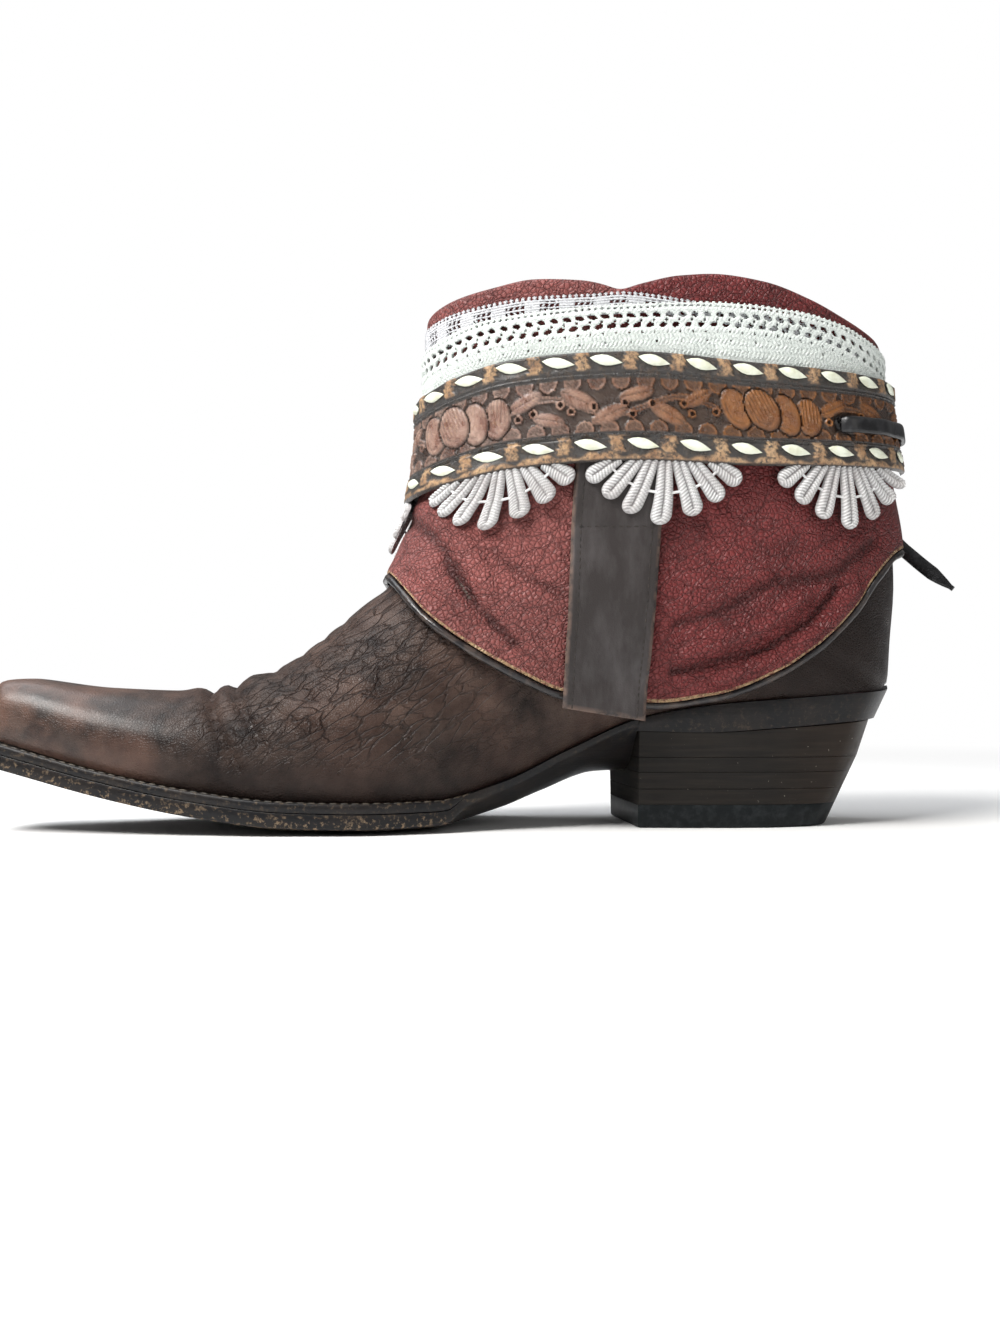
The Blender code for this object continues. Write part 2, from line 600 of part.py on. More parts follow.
def make_lace_bands(grey_lace, white_lace):
    """Two straight laces round the collar: a ladder lace, and an eyelet lace lapped over it."""
    turn = shaft_turns()
    eyelet_top = height_round(turn, EYELET_HIGH)
    make_band("ladder_lace", turn, eyelet_top - TUCK, height_round(turn, COLLAR) - COLLAR_ROLL,
              LADDER_INSIDE, LADDER_FACE, grey_lace)
    make_band("eyelet_lace", turn, height_round(turn, BELT_HIGH) - TUCK, eyelet_top,
              EYELET_INSIDE, EYELET_FACE, white_lace)


def make_belt(material):
    """A strip of tooled belt leather, its two ends not quite meeting at the back."""
    turn = np.clip(shaft_turns(), -BELT_END, BELT_END)
    return make_band("belt", turn, height_round(turn, BELT_LOW), height_round(turn, BELT_HIGH),
                     BELT_INSIDE, BELT_FACE, material)


def make_fan_lace(material):
    """Fans of corded lace hanging from under the belt, evenly along its lower edge."""
    fine = np.linspace(FAN_FIRST_TURN, -FAN_FIRST_TURN, 400)
    edge = off_shaft(fine, height_round(fine, BELT_LOW), FAN_INSIDE)
    length = np.concatenate([[0], np.cumsum(np.linalg.norm(np.diff(edge, axis=0), axis=1))])
    going = np.linspace(0, FAN_COUNT * FAN_PITCH, FAN_COUNT * POINTS_PER_FAN + 1)
    turn = np.interp(going, length, fine)
    belt_low = height_round(turn, BELT_LOW)
    arch = np.abs(np.sin(math.pi * going / FAN_PITCH)) ** 0.7
    drop = FAN_SHORT + (FAN_LONG - FAN_SHORT) * arch
    return make_band("fan_lace", turn, belt_low - drop, belt_low - 3 * GAP, FAN_INSIDE, FAN_FACE,
                     material)


def make_tie(material):
    """A flat thong across the gap between the belt's ends, with its knot and one loose end."""
    side = np.linspace(TIE_HOLE_TURN, 1, 7)
    turn = np.concatenate([-side, side[-2::-1]])
    half_width = np.full(turn.shape, TIE_WIDTH / 2)
    make_band("tie_bar", turn, TIE_HEIGHT - half_width, TIE_HEIGHT + half_width,
              TIE_INSIDE, TIE_FACE, material)

    ball = bpy.data.meshes.new("tie_knot")
    shape = bmesh.new()
    bmesh.ops.create_uvsphere(shape, u_segments=10, v_segments=7, radius=KNOT_ACROSS * MM / 2)
    shape.to_mesh(ball)
    shape.free()
    ball.shade_smooth()
    knot = place_part("tie_knot", ball, material)
    knot.location = off_shaft(KNOT_TURN, TIE_HEIGHT, TIE_FACE + GAP + KNOT_ACROSS / 2) * MM

    route = np.array(TAIL_ROUTE)
    at = np.linspace(0, len(route) - 1, TAIL_STEPS)
    points = [smooth(np.arange(len(route)), route[:, axis], at) for axis in range(3)]
    tube_part("tie_end", np.stack(points, axis=-1), TAIL_RADIUS, 2, material)


for leftover in list(bpy.data.objects):
    bpy.data.objects.remove(leftover)

boot = bpy.data.collections.new("western_ankle_boot")
bpy.context.scene.collection.children.link(boot)
origin = bpy.data.objects.new("boot_origin", None)
origin.location = (-MIDDLE_FROM_TOE * MM, -MIDDLE_ACROSS * MM, 0)
boot.objects.link(origin)

brown_leather = make_material("brown oiled leather", (0.055, 0.036, 0.028), 0.45)
burgundy_leather = make_material("burgundy lining leather", (0.16, 0.035, 0.032), 0.5)
edge_leather = make_material("blackened edge leather", (0.02, 0.018, 0.017), 0.35)
stacked_leather = make_material("stacked heel leather", (0.03, 0.022, 0.018), 0.4)
cap_rubber = make_material("black cap rubber", (0.014, 0.016, 0.018), 0.5)
insole_leather = make_material("tan insole leather", (0.32, 0.2, 0.11), 0.6)
strap_leather = make_material("grey brown strap leather", (0.07, 0.062, 0.058), 0.5)
belt_leather = make_material("tooled belt leather", (0.2, 0.1, 0.045), 0.35)
grey_lace = make_material("grey white ladder lace", (0.6, 0.63, 0.64), 0.9)
white_lace = make_material("mint white eyelet lace", (0.78, 0.85, 0.8), 0.9)
fan_lace = make_material("corded fan lace", (0.66, 0.67, 0.68), 0.9)
black_thong = make_material("black thong leather", (0.006, 0.006, 0.006), 0.35)

make_outsole(edge_leather)
make_welt(edge_leather)
make_insole(insole_leather)
make_heel(stacked_leather, cap_rubber)
make_upper(brown_leather)
make_cuff(burgundy_leather)
make_binding(edge_leather)
make_strap("pull_strap_inner", INNER, strap_leather)
make_strap("pull_strap_outer", OUTER, strap_leather)
make_lace_bands(grey_lace, white_lace)
make_belt(belt_leather)
make_fan_lace(fan_lace)
make_tie(black_thong)
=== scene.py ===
"""Western ankle boot with a turned-down cuff, lace bands and a tooled belt, for looking at.

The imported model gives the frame. Every piece here is worked out from the boot's own sizes, in
millimetres from the toe along it, from its middle line across it and from the floor up.
"""
import math

import bpy
import numpy as np
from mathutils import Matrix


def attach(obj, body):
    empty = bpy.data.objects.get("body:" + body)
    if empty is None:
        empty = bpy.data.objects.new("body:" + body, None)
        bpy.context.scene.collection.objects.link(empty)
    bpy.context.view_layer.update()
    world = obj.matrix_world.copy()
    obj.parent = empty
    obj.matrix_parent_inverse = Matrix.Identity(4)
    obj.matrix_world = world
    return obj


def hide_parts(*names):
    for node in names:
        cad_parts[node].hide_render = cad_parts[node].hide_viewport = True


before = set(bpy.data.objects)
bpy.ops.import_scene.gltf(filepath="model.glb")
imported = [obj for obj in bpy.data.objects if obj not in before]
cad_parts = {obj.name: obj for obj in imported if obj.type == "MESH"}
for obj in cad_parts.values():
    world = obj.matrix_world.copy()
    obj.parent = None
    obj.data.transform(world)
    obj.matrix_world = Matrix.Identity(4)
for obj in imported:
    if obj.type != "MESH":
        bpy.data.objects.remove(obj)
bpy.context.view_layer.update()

# The stage is a plain pale floor under soft studio light. The camera stands where the photo was
# taken from, low down at the boot's inner side and a little towards its toe.
IMAGE_HEIGHT_PX = 1333
FOCAL_LENGTH_PX = 1529.4
SENSOR_MM = 36.0
CAMERA_PLACE = (-0.0401, -0.5190, 0.0446)
CAMERA_TURN = math.radians(-6.0)
CAMERA_TILT = math.radians(0.955)
FLOOR_HALF = 4.0
FLOOR_FADE = (0.25, 0.9)
FLOOR_COLOUR, FLOOR_ROUGHNESS = (0.93, 0.93, 0.93, 1), 0.9
SKY_SPAN, SKY_STRENGTH = (-0.2, 0.9), (0.08, 0.34)
LIGHTS = {
    "window_light": {"place": (-0.62, -0.55, 1.05), "size": 0.6, "power": 22.5, "colour": (1.0, 0.985, 0.96)},
    "top_light": {"place": (-0.35, 0.2, 1.0), "size": 0.9, "power": 7.5, "colour": (0.94, 0.97, 1.0)},
    "side_light": {"place": (0.55, -0.9, 0.45), "size": 0.6, "power": 1.2, "colour": (1.0, 0.97, 0.93)},
}
LIGHT_AIM = np.array([0.0, 0.0, 0.08])


def put(tree, socket, value):
    """Sets an input of a node to a value, or links it to another node's output."""
    if isinstance(value, bpy.types.NodeSocket):
        tree.links.new(value, socket)
    else:
        socket.default_value = value


def node(tree, kind, inputs=None, **settings):
    """Adds a shader node with its settings, and with its inputs given by name or number."""
    made = tree.nodes.new(kind)
    for name, value in settings.items():
        setattr(made, name, value)
    for name, value in (inputs or {}).items():
        put(tree, made.inputs[name], value)
    return made


def aim(thing, place, target):
    """Turns a light at a place so that it shines at a target."""
    thing.location = place
    direction = np.asarray(target) - np.asarray(place)
    across = math.hypot(direction[0], direction[1])
    thing.rotation_euler = (math.pi / 2 + math.atan2(direction[2], across), 0,
                            math.atan2(-direction[0], direction[1]))


camera = bpy.data.objects.new("camera", bpy.data.cameras.new("camera"))
camera.data.sensor_width = SENSOR_MM
camera.data.lens = FOCAL_LENGTH_PX * SENSOR_MM / IMAGE_HEIGHT_PX
camera.data.clip_start = 0.01
camera.location = CAMERA_PLACE
camera.rotation_euler = (math.pi / 2 + CAMERA_TILT, 0, CAMERA_TURN)
bpy.context.scene.collection.objects.link(camera)
bpy.context.scene.camera = camera
bpy.context.scene.view_settings.view_transform = "Standard"

for name, light in LIGHTS.items():
    lamp = bpy.data.objects.new(name, bpy.data.lights.new(name, "AREA"))
    lamp.data.size = light["size"]
    lamp.data.energy = light["power"]
    lamp.data.color = light["colour"]
    aim(lamp, light["place"], LIGHT_AIM)
    bpy.context.scene.collection.objects.link(lamp)

studio = bpy.data.worlds.new("studio")
studio.use_nodes = True
bpy.context.scene.world = studio
sky = studio.node_tree
sky.nodes.clear()
toward = node(sky, "ShaderNodeSeparateXYZ", {"Vector": node(sky, "ShaderNodeTexCoord").outputs["Generated"]})
overhead = node(sky, "ShaderNodeMapRange", {
    "Value": toward.outputs["Z"], "From Min": SKY_SPAN[0], "From Max": SKY_SPAN[1],
    "To Min": SKY_STRENGTH[0], "To Max": SKY_STRENGTH[1]})
room = node(sky, "ShaderNodeBackground", {"Color": (1, 1, 1, 1), "Strength": overhead.outputs["Result"]})
backdrop = node(sky, "ShaderNodeBackground", {"Color": (1, 1, 1, 1), "Strength": 1.0})
seen = node(sky, "ShaderNodeLightPath").outputs["Is Camera Ray"]
both = node(sky, "ShaderNodeMixShader", {"Fac": seen, 1: room.outputs[0], 2: backdrop.outputs[0]})
node(sky, "ShaderNodeOutputWorld", {"Surface": both.outputs[0]})

floor_mesh = bpy.data.meshes.new("floor")
floor_mesh.from_pydata([(-FLOOR_HALF, -FLOOR_HALF, 0), (FLOOR_HALF, -FLOOR_HALF, 0),
                        (FLOOR_HALF, FLOOR_HALF, 0), (-FLOOR_HALF, FLOOR_HALF, 0)], [], [(0, 1, 2, 3)])
floor = bpy.data.objects.new("floor", floor_mesh)
floor_paint = bpy.data.materials.new("pale floor")
floor_paint.use_nodes = True
painted = floor_paint.node_tree
paint = painted.nodes["Principled BSDF"]
put(painted, paint.inputs["Base Color"], FLOOR_COLOUR)
put(painted, paint.inputs["Roughness"], FLOOR_ROUGHNESS)
floor_place = node(painted, "ShaderNodeTexCoord").outputs["Object"]
far_off = node(painted, "ShaderNodeVectorMath", {0: floor_place}, operation="LENGTH")
fading = node(painted, "ShaderNodeMapRange", {"Value": far_off.outputs["Value"], "From Min": FLOOR_FADE[0],
                                              "From Max": FLOOR_FADE[1]}, interpolation_type="SMOOTHSTEP")
white = node(painted, "ShaderNodeEmission", {"Color": (1, 1, 1, 1), "Strength": 1.0})
blended = node(painted, "ShaderNodeMixShader", {"Fac": fading.outputs["Result"], 1: paint.outputs[0],
                                                2: white.outputs[0]})
painted.links.new(blended.outputs[0], painted.nodes["Material Output"].inputs["Surface"])
floor_mesh.materials.append(floor_paint)
bpy.context.scene.collection.objects.link(floor)


# The upper is one pull of oiled brown leather over a snip-toed last: vamp, counter and the standing
# part of the shaft, lined with burgundy leather. Wear has left deep folds at the toe break.
MM = 0.001
ORIGIN = np.array([155.7, 1.8, 0.0])
INNER, OUTER = -1, 1
UPPER_WALL = 2.4
COLLAR_ROLL = 2.6
BELOW_FOLD = 1.6
GAP = 0.3
HALVINGS = 26
SHARP_ANGLE = math.radians(50)
UPPER_HALF_COLUMNS = 64
FOOT_ROWS, SHAFT_ROWS, FINE_ROWS, NORMAL_STEP = 190, 24, 900, 0.004
BROWN, BROWN_DARK, BROWN_WORN = (0.068, 0.045, 0.036, 1), (0.010, 0.006, 0.005, 1), (0.175, 0.092, 0.066, 1)
LAST_COLUMNS = ("ridge_x", "ridge_z", "base_x", "base_z", "half", "rim",
                "swing", "rim_swing", "belly", "front_power", "base_power")
LAST_ROWS = {
    "toe face":     (4.0, 40.5, 4.0, 30.4, 7.5, 7.3, -4.0, -4.0, 0.60, 2.6, 2.4),
    "toe round":    (4.9, 45.3, 4.3, 30.3, 10.4, 10.2, -4.0, -4.0, 0.62, 2.6, 2.4),
    "toe corner":   (8.0, 48.4, 6.6, 29.6, 13.2, 12.7, -4.0, -4.0, 0.66, 2.6, 2.4),
    "toe top":      (17.0, 49.0, 16.0, 26.8, 17.2, 16.3, -3.8, -3.8, 0.70, 2.5, 2.4),
    "toe box":      (42.0, 46.0, 42.0, 19.7, 25.6, 24.2, -3.0, -3.0, 0.72, 2.3, 2.3),
    "toe break":    (70.0, 45.0, 70.0, 14.1, 34.2, 32.2, -1.5, -1.5, 0.70, 2.1, 2.3),
    "vamp":         (95.0, 52.4, 97.0, 10.9, 41.0, 38.8, 0.0, 0.5, 0.70, 2.0, 2.3),
    "ball":         (113.5, 65.2, 122.0, 10.2, 44.2, 41.5, 0.8, 2.0, 0.70, 2.0, 2.3),
    "instep foot":  (124.5, 74.3, 145.0, 10.4, 42.0, 38.0, 1.0, 3.5, 0.66, 2.0, 2.3),
    "instep":       (132.0, 79.9, 167.0, 15.7, 38.8, 31.5, 0.8, 4.5, 0.60, 2.1, 2.3),
    "throat":       (136.3, 86.5, 190.0, 26.2, 36.6, 28.0, 0.4, 4.5, 0.56, 2.2, 2.4),
    "ankle":        (139.3, 93.5, 213.0, 36.2, 35.6, 28.0, 0.0, 3.0, 0.52, 2.3, 2.4),
    "ankle back":   (142.0, 100.0, 238.0, 40.7, 35.6, 30.0, 0.0, 1.5, 0.50, 2.3, 2.5),
    "seat":         (144.2, 105.5, 265.0, 42.9, 36.0, 30.5, 0.0, 0.5, 0.50, 2.3, 2.6),
    "seat back":    (145.4, 110.0, 288.0, 44.7, 36.3, 25.5, 0.0, 0.0, 0.50, 2.3, 2.6),
    "heel round":   (146.2, 114.0, 300.0, 45.8, 36.5, 12.0, 0.0, 0.0, 0.50, 2.3, 2.6),
    "heel edge":    (146.8, 117.5, 303.0, 47.2, 36.5, 0.0, 0.0, 0.0, 0.50, 2.3, 2.6),
    "counter":      (147.4, 122.0, 304.2, 62.0, 36.5, 0.0, 0.0, 0.0, 0.50, 2.3, 2.6),
    "counter top":  (147.9, 128.0, 305.6, 80.0, 36.5, 0.0, 0.0, 0.0, 0.50, 2.3, 2.6),
    "back hem":     (148.2, 134.0, 305.4, 95.0, 36.5, 0.0, 0.0, 0.0, 0.50, 2.3, 2.5),
    "belt foot":    (148.4, 141.0, 303.0, 114.0, 36.4, 0.0, 0.0, 0.0, 0.50, 2.3, 2.4),
    "belt top":     (148.2, 150.0, 299.6, 134.0, 36.3, 0.0, 0.0, 0.0, 0.50, 2.3, 2.4),
    "lace":         (147.9, 159.0, 298.4, 150.0, 36.2, 0.0, 0.0, 0.0, 0.50, 2.3, 2.4),
    "collar":       (147.7, 169.0, 299.0, 164.0, 36.0, 0.0, 0.0, 0.0, 0.50, 2.3, 2.4),
    "above collar": (147.6, 183.0, 299.6, 183.0, 36.0, 0.0, 0.0, 0.0, 0.50, 2.3, 2.4),
}
FIRST_CUFF_ROW = list(LAST_ROWS).index("instep foot")
HEEL_EDGE_ROW = list(LAST_ROWS).index("heel edge")
LAST_ROW = len(LAST_ROWS) - 1
COLLAR = ((146, 171), (154, 173.5), (165, 175.5), (178, 177.4), (192, 176.7), (205, 174.8), (224, 178.5),
          (236, 179.4), (252, 177.8), (269, 173), (281, 168.5), (290, 165.5), (299, 163))

# Folds and creases of the vamp from its ridge down each side, as places along and up, with how
# far each stands out or sinks in and how wide it is.
VAMP_FOLDS = (
    {"line": ((69.0, 46.5), (70.5, 39.0), (73.5, 30.0), (79.0, 20.0)), "out": 1.0, "width": 3.4},
    {"line": ((73.9, 46.5), (75.8, 38.3), (78.6, 31.0), (84.5, 20.9)), "out": -1.5, "width": 1.5},
    {"line": ((78.0, 47.5), (80.6, 38.5), (84.0, 30.5), (89.5, 22.0)), "out": 0.8, "width": 2.8},
    {"line": ((80.5, 49.0), (82.6, 44.0), (87.6, 35.4), (92.5, 27.5)), "out": -1.4, "width": 1.5},
    {"line": ((86.0, 51.0), (88.6, 47.2), (97.0, 42.0), (107.0, 36.5)), "out": 1.2, "width": 3.2},
    {"line": ((92.5, 53.5), (99.0, 47.5), (108.0, 41.5)), "out": -0.9, "width": 1.6},
    {"line": ((101.0, 59.0), (110.0, 51.5), (121.0, 44.0)), "out": -0.5, "width": 1.6},
    {"line": ((108.0, 64.5), (117.0, 57.0), (129.0, 49.0)), "out": -0.55, "width": 1.8},
    {"line": ((115.0, 69.5), (124.0, 62.0), (137.0, 53.0)), "out": -0.45, "width": 1.8},
    {"line": ((96.0, 38.0), (104.0, 31.5), (115.0, 27.0)), "out": -0.5, "width": 1.5},
    {"line": ((108.0, 37.0), (118.0, 32.0), (131.0, 29.0)), "out": -0.4, "width": 1.6},
)


def held(values):
    """Values kept between 0 and 1."""
    return np.clip(values, 0, 1)


def bell(away, width):
    """A bell curve of a distance: 1 on the spot, and dying away over a width."""
    return np.exp(-(away / width) ** 2)


def smooth_slopes(knots, values):
    """Slopes at the knots of a cubic curve that never overshoots, as weighted harmonic means."""
    gap = np.diff(knots)
    rise = np.diff(values) / gap
    left, right = rise[:-1], rise[1:]
    same_way = left * right > 0
    weight_left = 2 * gap[1:] + gap[:-1]
    weight_right = gap[1:] + 2 * gap[:-1]
    inner = (weight_left + weight_right) / (
        weight_left / np.where(same_way, left, 1) + weight_right / np.where(same_way, right, 1))
    return np.concatenate([rise[:1], np.where(same_way, inner, 0), rise[-1:]])


def smooth(knots, values, at, slopes=None):
    """Cubic curve through the knots, blended in each gap from the values and slopes at its ends."""
    knots = np.asarray(knots, float)
    values = np.asarray(values, float)
    slopes = smooth_slopes(knots, values) if slopes is None else slopes
    at = np.clip(at, knots[0], knots[-1])
    i = np.clip(np.searchsorted(knots, at, side="right") - 1, 0, len(knots) - 2)
    gap = knots[i + 1] - knots[i]
    t = (at - knots[i]) / gap
    return (values[i] * (1 + 2 * t) * (1 - t) ** 2 + slopes[i] * gap * t * (1 - t) ** 2
            + values[i + 1] * t ** 2 * (3 - 2 * t) + slopes[i + 1] * gap * t ** 2 * (t - 1))


def along(pairs, at):
    """Reads a table of places and heights at places along the boot."""
    places, heights = zip(*pairs)
    return smooth(places, heights, at)


LAST_COUNT = np.arange(LAST_ROW + 1.0)
LAST = dict(zip(LAST_COLUMNS, np.array(list(LAST_ROWS.values()), float).T))
LAST_SLOPES = {column: smooth_slopes(LAST_COUNT, values) for column, values in LAST.items()}


def last(column, row):
    """Reads a column of the last between its rows."""
    return smooth(LAST_COUNT, LAST[column], row, LAST_SLOPES[column])


def upper_points(row, turn):
    """Outer face of the upper. row counts slices of the last; turn is 0 on the ridge and goes to
    -1 at the base or back seam on the inner side, and to 1 on the outer side. A slice is a quarter
    of a superellipse from ridge to belly and another, stopped at the rim's half width, to the base.
    """
    row, turn = np.broadcast_arrays(np.asarray(row, float), np.asarray(turn, float))
    around = np.abs(turn)
    half, belly = last("half", row), last("belly", row)
    front_power, base_power = last("front_power", row), last("base_power", row)
    left_open = np.clip(last("rim", row) / half, 0, 0.999)
    front = held(around * 2) * math.pi / 2
    front_down = belly * (1 - np.cos(front) ** (2 / front_power))
    front_out = np.sin(front) ** (2 / front_power)
    share = np.sin(held(around * 2 - 1) * math.pi / 2) ** (2 / base_power)
    base_down = belly + (1 - belly) * share
    base_out = (1 - (1 - left_open ** base_power) * share ** base_power) ** (1 / base_power)
    lower = around > 0.5
    down = np.where(lower, base_down, front_down)
    out = np.where(lower, base_out, front_out)
    out = np.where((around >= 1) & (left_open <= 0), 0, out)
    settle = held((down - belly) / (1 - belly))
    middle = last("swing", row) + (last("rim_swing", row) - last("swing", row)) * settle
    x = last("ridge_x", row) + (last("base_x", row) - last("ridge_x", row)) * down
    z = last("ridge_z", row) + (last("base_z", row) - last("ridge_z", row)) * down
    return np.stack([x, middle + np.sign(turn) * half * out, z], axis=-1)


def upper_normals(row, turn):
    """Outward unit normals of the upper, from small steps along the slices and round them."""
    row, turn = np.broadcast_arrays(np.asarray(row, float), np.asarray(turn, float))
    side = np.where(turn < 0, INNER, OUTER)
    around = np.abs(turn)
    round_it = (upper_points(row, side * held(around + NORMAL_STEP))
                - upper_points(row, side * held(around - NORMAL_STEP)))
    up_it = upper_points(row + NORMAL_STEP, turn) - upper_points(row - NORMAL_STEP, turn)
    normal = np.cross(round_it, up_it) * -side[..., None]
    normal[..., 1] = np.where((around <= 0) | (around >= 1), 0, normal[..., 1])
    normal /= np.linalg.norm(normal, axis=-1, keepdims=True)
    middle = (upper_points(row, 0 * turn) + upper_points(row, 0 * turn + 1)) / 2
    outward = np.sum(normal * (upper_points(row, turn) - middle), axis=-1, keepdims=True)
    return normal * np.where(outward < 0, -1, 1)


def row_at_height(turn, height):
    """The slice on which each turn reaches a height given along the boot, found by halving."""
    low = np.full(turn.shape, float(FIRST_CUFF_ROW))
    high = np.full(turn.shape, float(LAST_ROW))
    for _ in range(HALVINGS):
        middle = (low + high) / 2
        point = upper_points(middle, turn)
        above = point[..., 2] > height(point[..., 0])
        high = np.where(above, middle, high)
        low = np.where(above, low, middle)
    return (low + high) / 2


def fold_height(points, folds):
    """Sum of soft ridges and troughs: each is a bell curve of the distance, in side view, from
    the fold's own line, and fades towards the line's ends."""
    flat = points[..., [0, 2]]
    height = np.zeros(flat.shape[:-1])
    for fold in folds:
        line = np.array(fold["line"], float)
        nearest = np.full(height.shape, 1e9)
        for start, end in zip(line[:-1], line[1:]):
            run = end - start
            share = held(((flat - start) @ run) / (run @ run))
            gap = np.linalg.norm(flat - start - share[..., None] * run, axis=-1)
            nearest = np.minimum(nearest, gap)
        height += fold["out"] * bell(nearest, fold["width"])
    return height


def grid_quads(rows, across, closed=False):
    """Quads of a grid of points, row by row; a closed grid joins its last column to its first."""
    row, column = np.mgrid[0:rows - 1, 0:across if closed else across - 1]
    following = (column + 1) % across
    return np.stack([row * across + column, row * across + following,
                     (row + 1) * across + following, (row + 1) * across + column], axis=-1).reshape(-1, 4)


def strip_cap(ring):
    """Quads that close a ring of points by joining its two halves. An odd number of points leaves
    a last quad with one corner doubled, which becomes a triangle."""
    i = np.arange((len(ring) - 1) // 2)
    return ring[np.stack([i, i + 1, len(ring) - 2 - i, len(ring) - 1 - i], axis=-1)]


def loft_quads(count, around, ends_meet=False):
    """Quads through rings of points. The end rings are joined to each other, or else closed."""
    quads = grid_quads(count, around, closed=True)
    first = np.arange(around)
    last_ring = first + (count - 1) * around
    if ends_meet:
        seam = np.stack([last_ring, np.roll(last_ring, -1), np.roll(first, -1), first], axis=-1)
        return np.concatenate([quads, seam])
    return np.concatenate([quads, strip_cap(first)[:, ::-1], strip_cap(last_ring)])


def volume(points, quads):
    """Signed volume inside quads: a sixth of the triple product of each of their triangles."""
    a, b, c, d = (points[quads[:, i]] for i in range(4))
    return (np.sum(a * np.cross(b, c)) + np.sum(a * np.cross(c, d))) / 6


def add_piece(name, points, quads, look, nodes=(), masks=None):
    """Makes a smooth mesh of points in millimetres, at the origin and riding on the boot. Where its
    volume about its middle comes out negative, its faces are turned round."""
    points = np.reshape(points, (-1, 3))
    quads = np.asarray(quads)
    if volume(points - points.mean(axis=0), quads) < 0:
        quads = quads[:, ::-1]
    doubled = quads == np.roll(quads, -1, axis=1)
    whole = ~doubled.any(axis=1)
    corners = quads[~whole][~doubled[~whole]].reshape(-1, 3)
    mesh = bpy.data.meshes.new(name)
    mesh.from_pydata(((points - ORIGIN) * MM).tolist(), [], quads[whole].tolist() + corners.tolist())
    mesh.shade_smooth()
    mesh.set_sharp_from_angle(angle=SHARP_ANGLE)
    mesh.materials.append(look.material)
    for label, values in (masks or {}).items():
        layer = mesh.attributes.new(label, "FLOAT", "POINT")
        layer.data.foreach_set("value", np.ravel(values).astype(np.float32))
    piece = bpy.data.objects.new(name, mesh)
    bpy.context.scene.collection.objects.link(piece)
    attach(piece, "root")
    if nodes:
        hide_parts(*nodes)
    return piece


def map_range(tree, value, low, high, start=0.0, end=1.0):
    """A value brought from one range to another and kept inside it."""
    return node(tree, "ShaderNodeMapRange", {"Value": value, "From Min": low, "From Max": high,
                                             "To Min": start, "To Max": end}).outputs["Result"]


def shader_group(name, inputs, outputs):
    """Starts a shader node group that reads places and named values, given with their defaults, and
    gives out named values."""
    group = bpy.data.node_groups.new(name, "ShaderNodeTree")
    group.interface.new_socket("Vector", in_out="INPUT", socket_type="NodeSocketVector")
    for label, default in inputs.items():
        socket = group.interface.new_socket(label, in_out="INPUT", socket_type="NodeSocketFloat")
        socket.default_value = default
    for label in outputs:
        group.interface.new_socket(label, in_out="OUTPUT", socket_type="NodeSocketFloat")
    return group, node(group, "NodeGroupInput").outputs, node(group, "NodeGroupOutput").inputs


def cell_edges(group, inputs, lumps, detail, push):
    """Distance to the nearest edge in a net of cells that soft noise pushes out of place."""
    warp = node(group, "ShaderNodeTexNoise", {"Vector": inputs["Vector"], "Scale": lumps, "Detail": detail})
    pushed = node(group, "ShaderNodeVectorMath", {0: warp.outputs["Color"], "Scale": push}, operation="SCALE")
    moved = node(group, "ShaderNodeVectorMath", {0: inputs["Vector"], 1: pushed.outputs[0]}, operation="ADD")
    net = node(group, "ShaderNodeTexVoronoi", {
        "Vector": moved.outputs[0], "Scale": inputs["Cells per metre"]}, feature="DISTANCE_TO_EDGE")
    return net.outputs["Distance"]


# Pebbled grain: cells with rounded tops and fine furrows between them.
leather_grain, group_in, group_out = shader_group(
    "leather grain", {"Cells per metre": 700.0, "Warp": 0.0008}, ["Height", "Furrow"])
from_edge = cell_edges(leather_grain, group_in, 420.0, 2.0, group_in["Warp"])
domed = node(leather_grain, "ShaderNodeMath", {0: map_range(leather_grain, from_edge, 0.0, 0.32), 1: 0.6},
             operation="POWER")
leather_grain.links.new(domed.outputs[0], group_out["Height"])
leather_grain.links.new(map_range(leather_grain, from_edge, 0.10, 0.0), group_out["Furrow"])

# Fine creasing: thin dark lines between the cells of a net.
fine_creases, group_in, group_out = shader_group(
    "fine creases", {"Cells per metre": 260.0, "Thin": 0.035}, ["Line"])
from_edge = cell_edges(fine_creases, group_in, 260.0, 3.0, 0.0042)
fine_creases.links.new(map_range(fine_creases, from_edge, 0.0, group_in["Thin"], 1.0, 0.0), group_out["Line"])


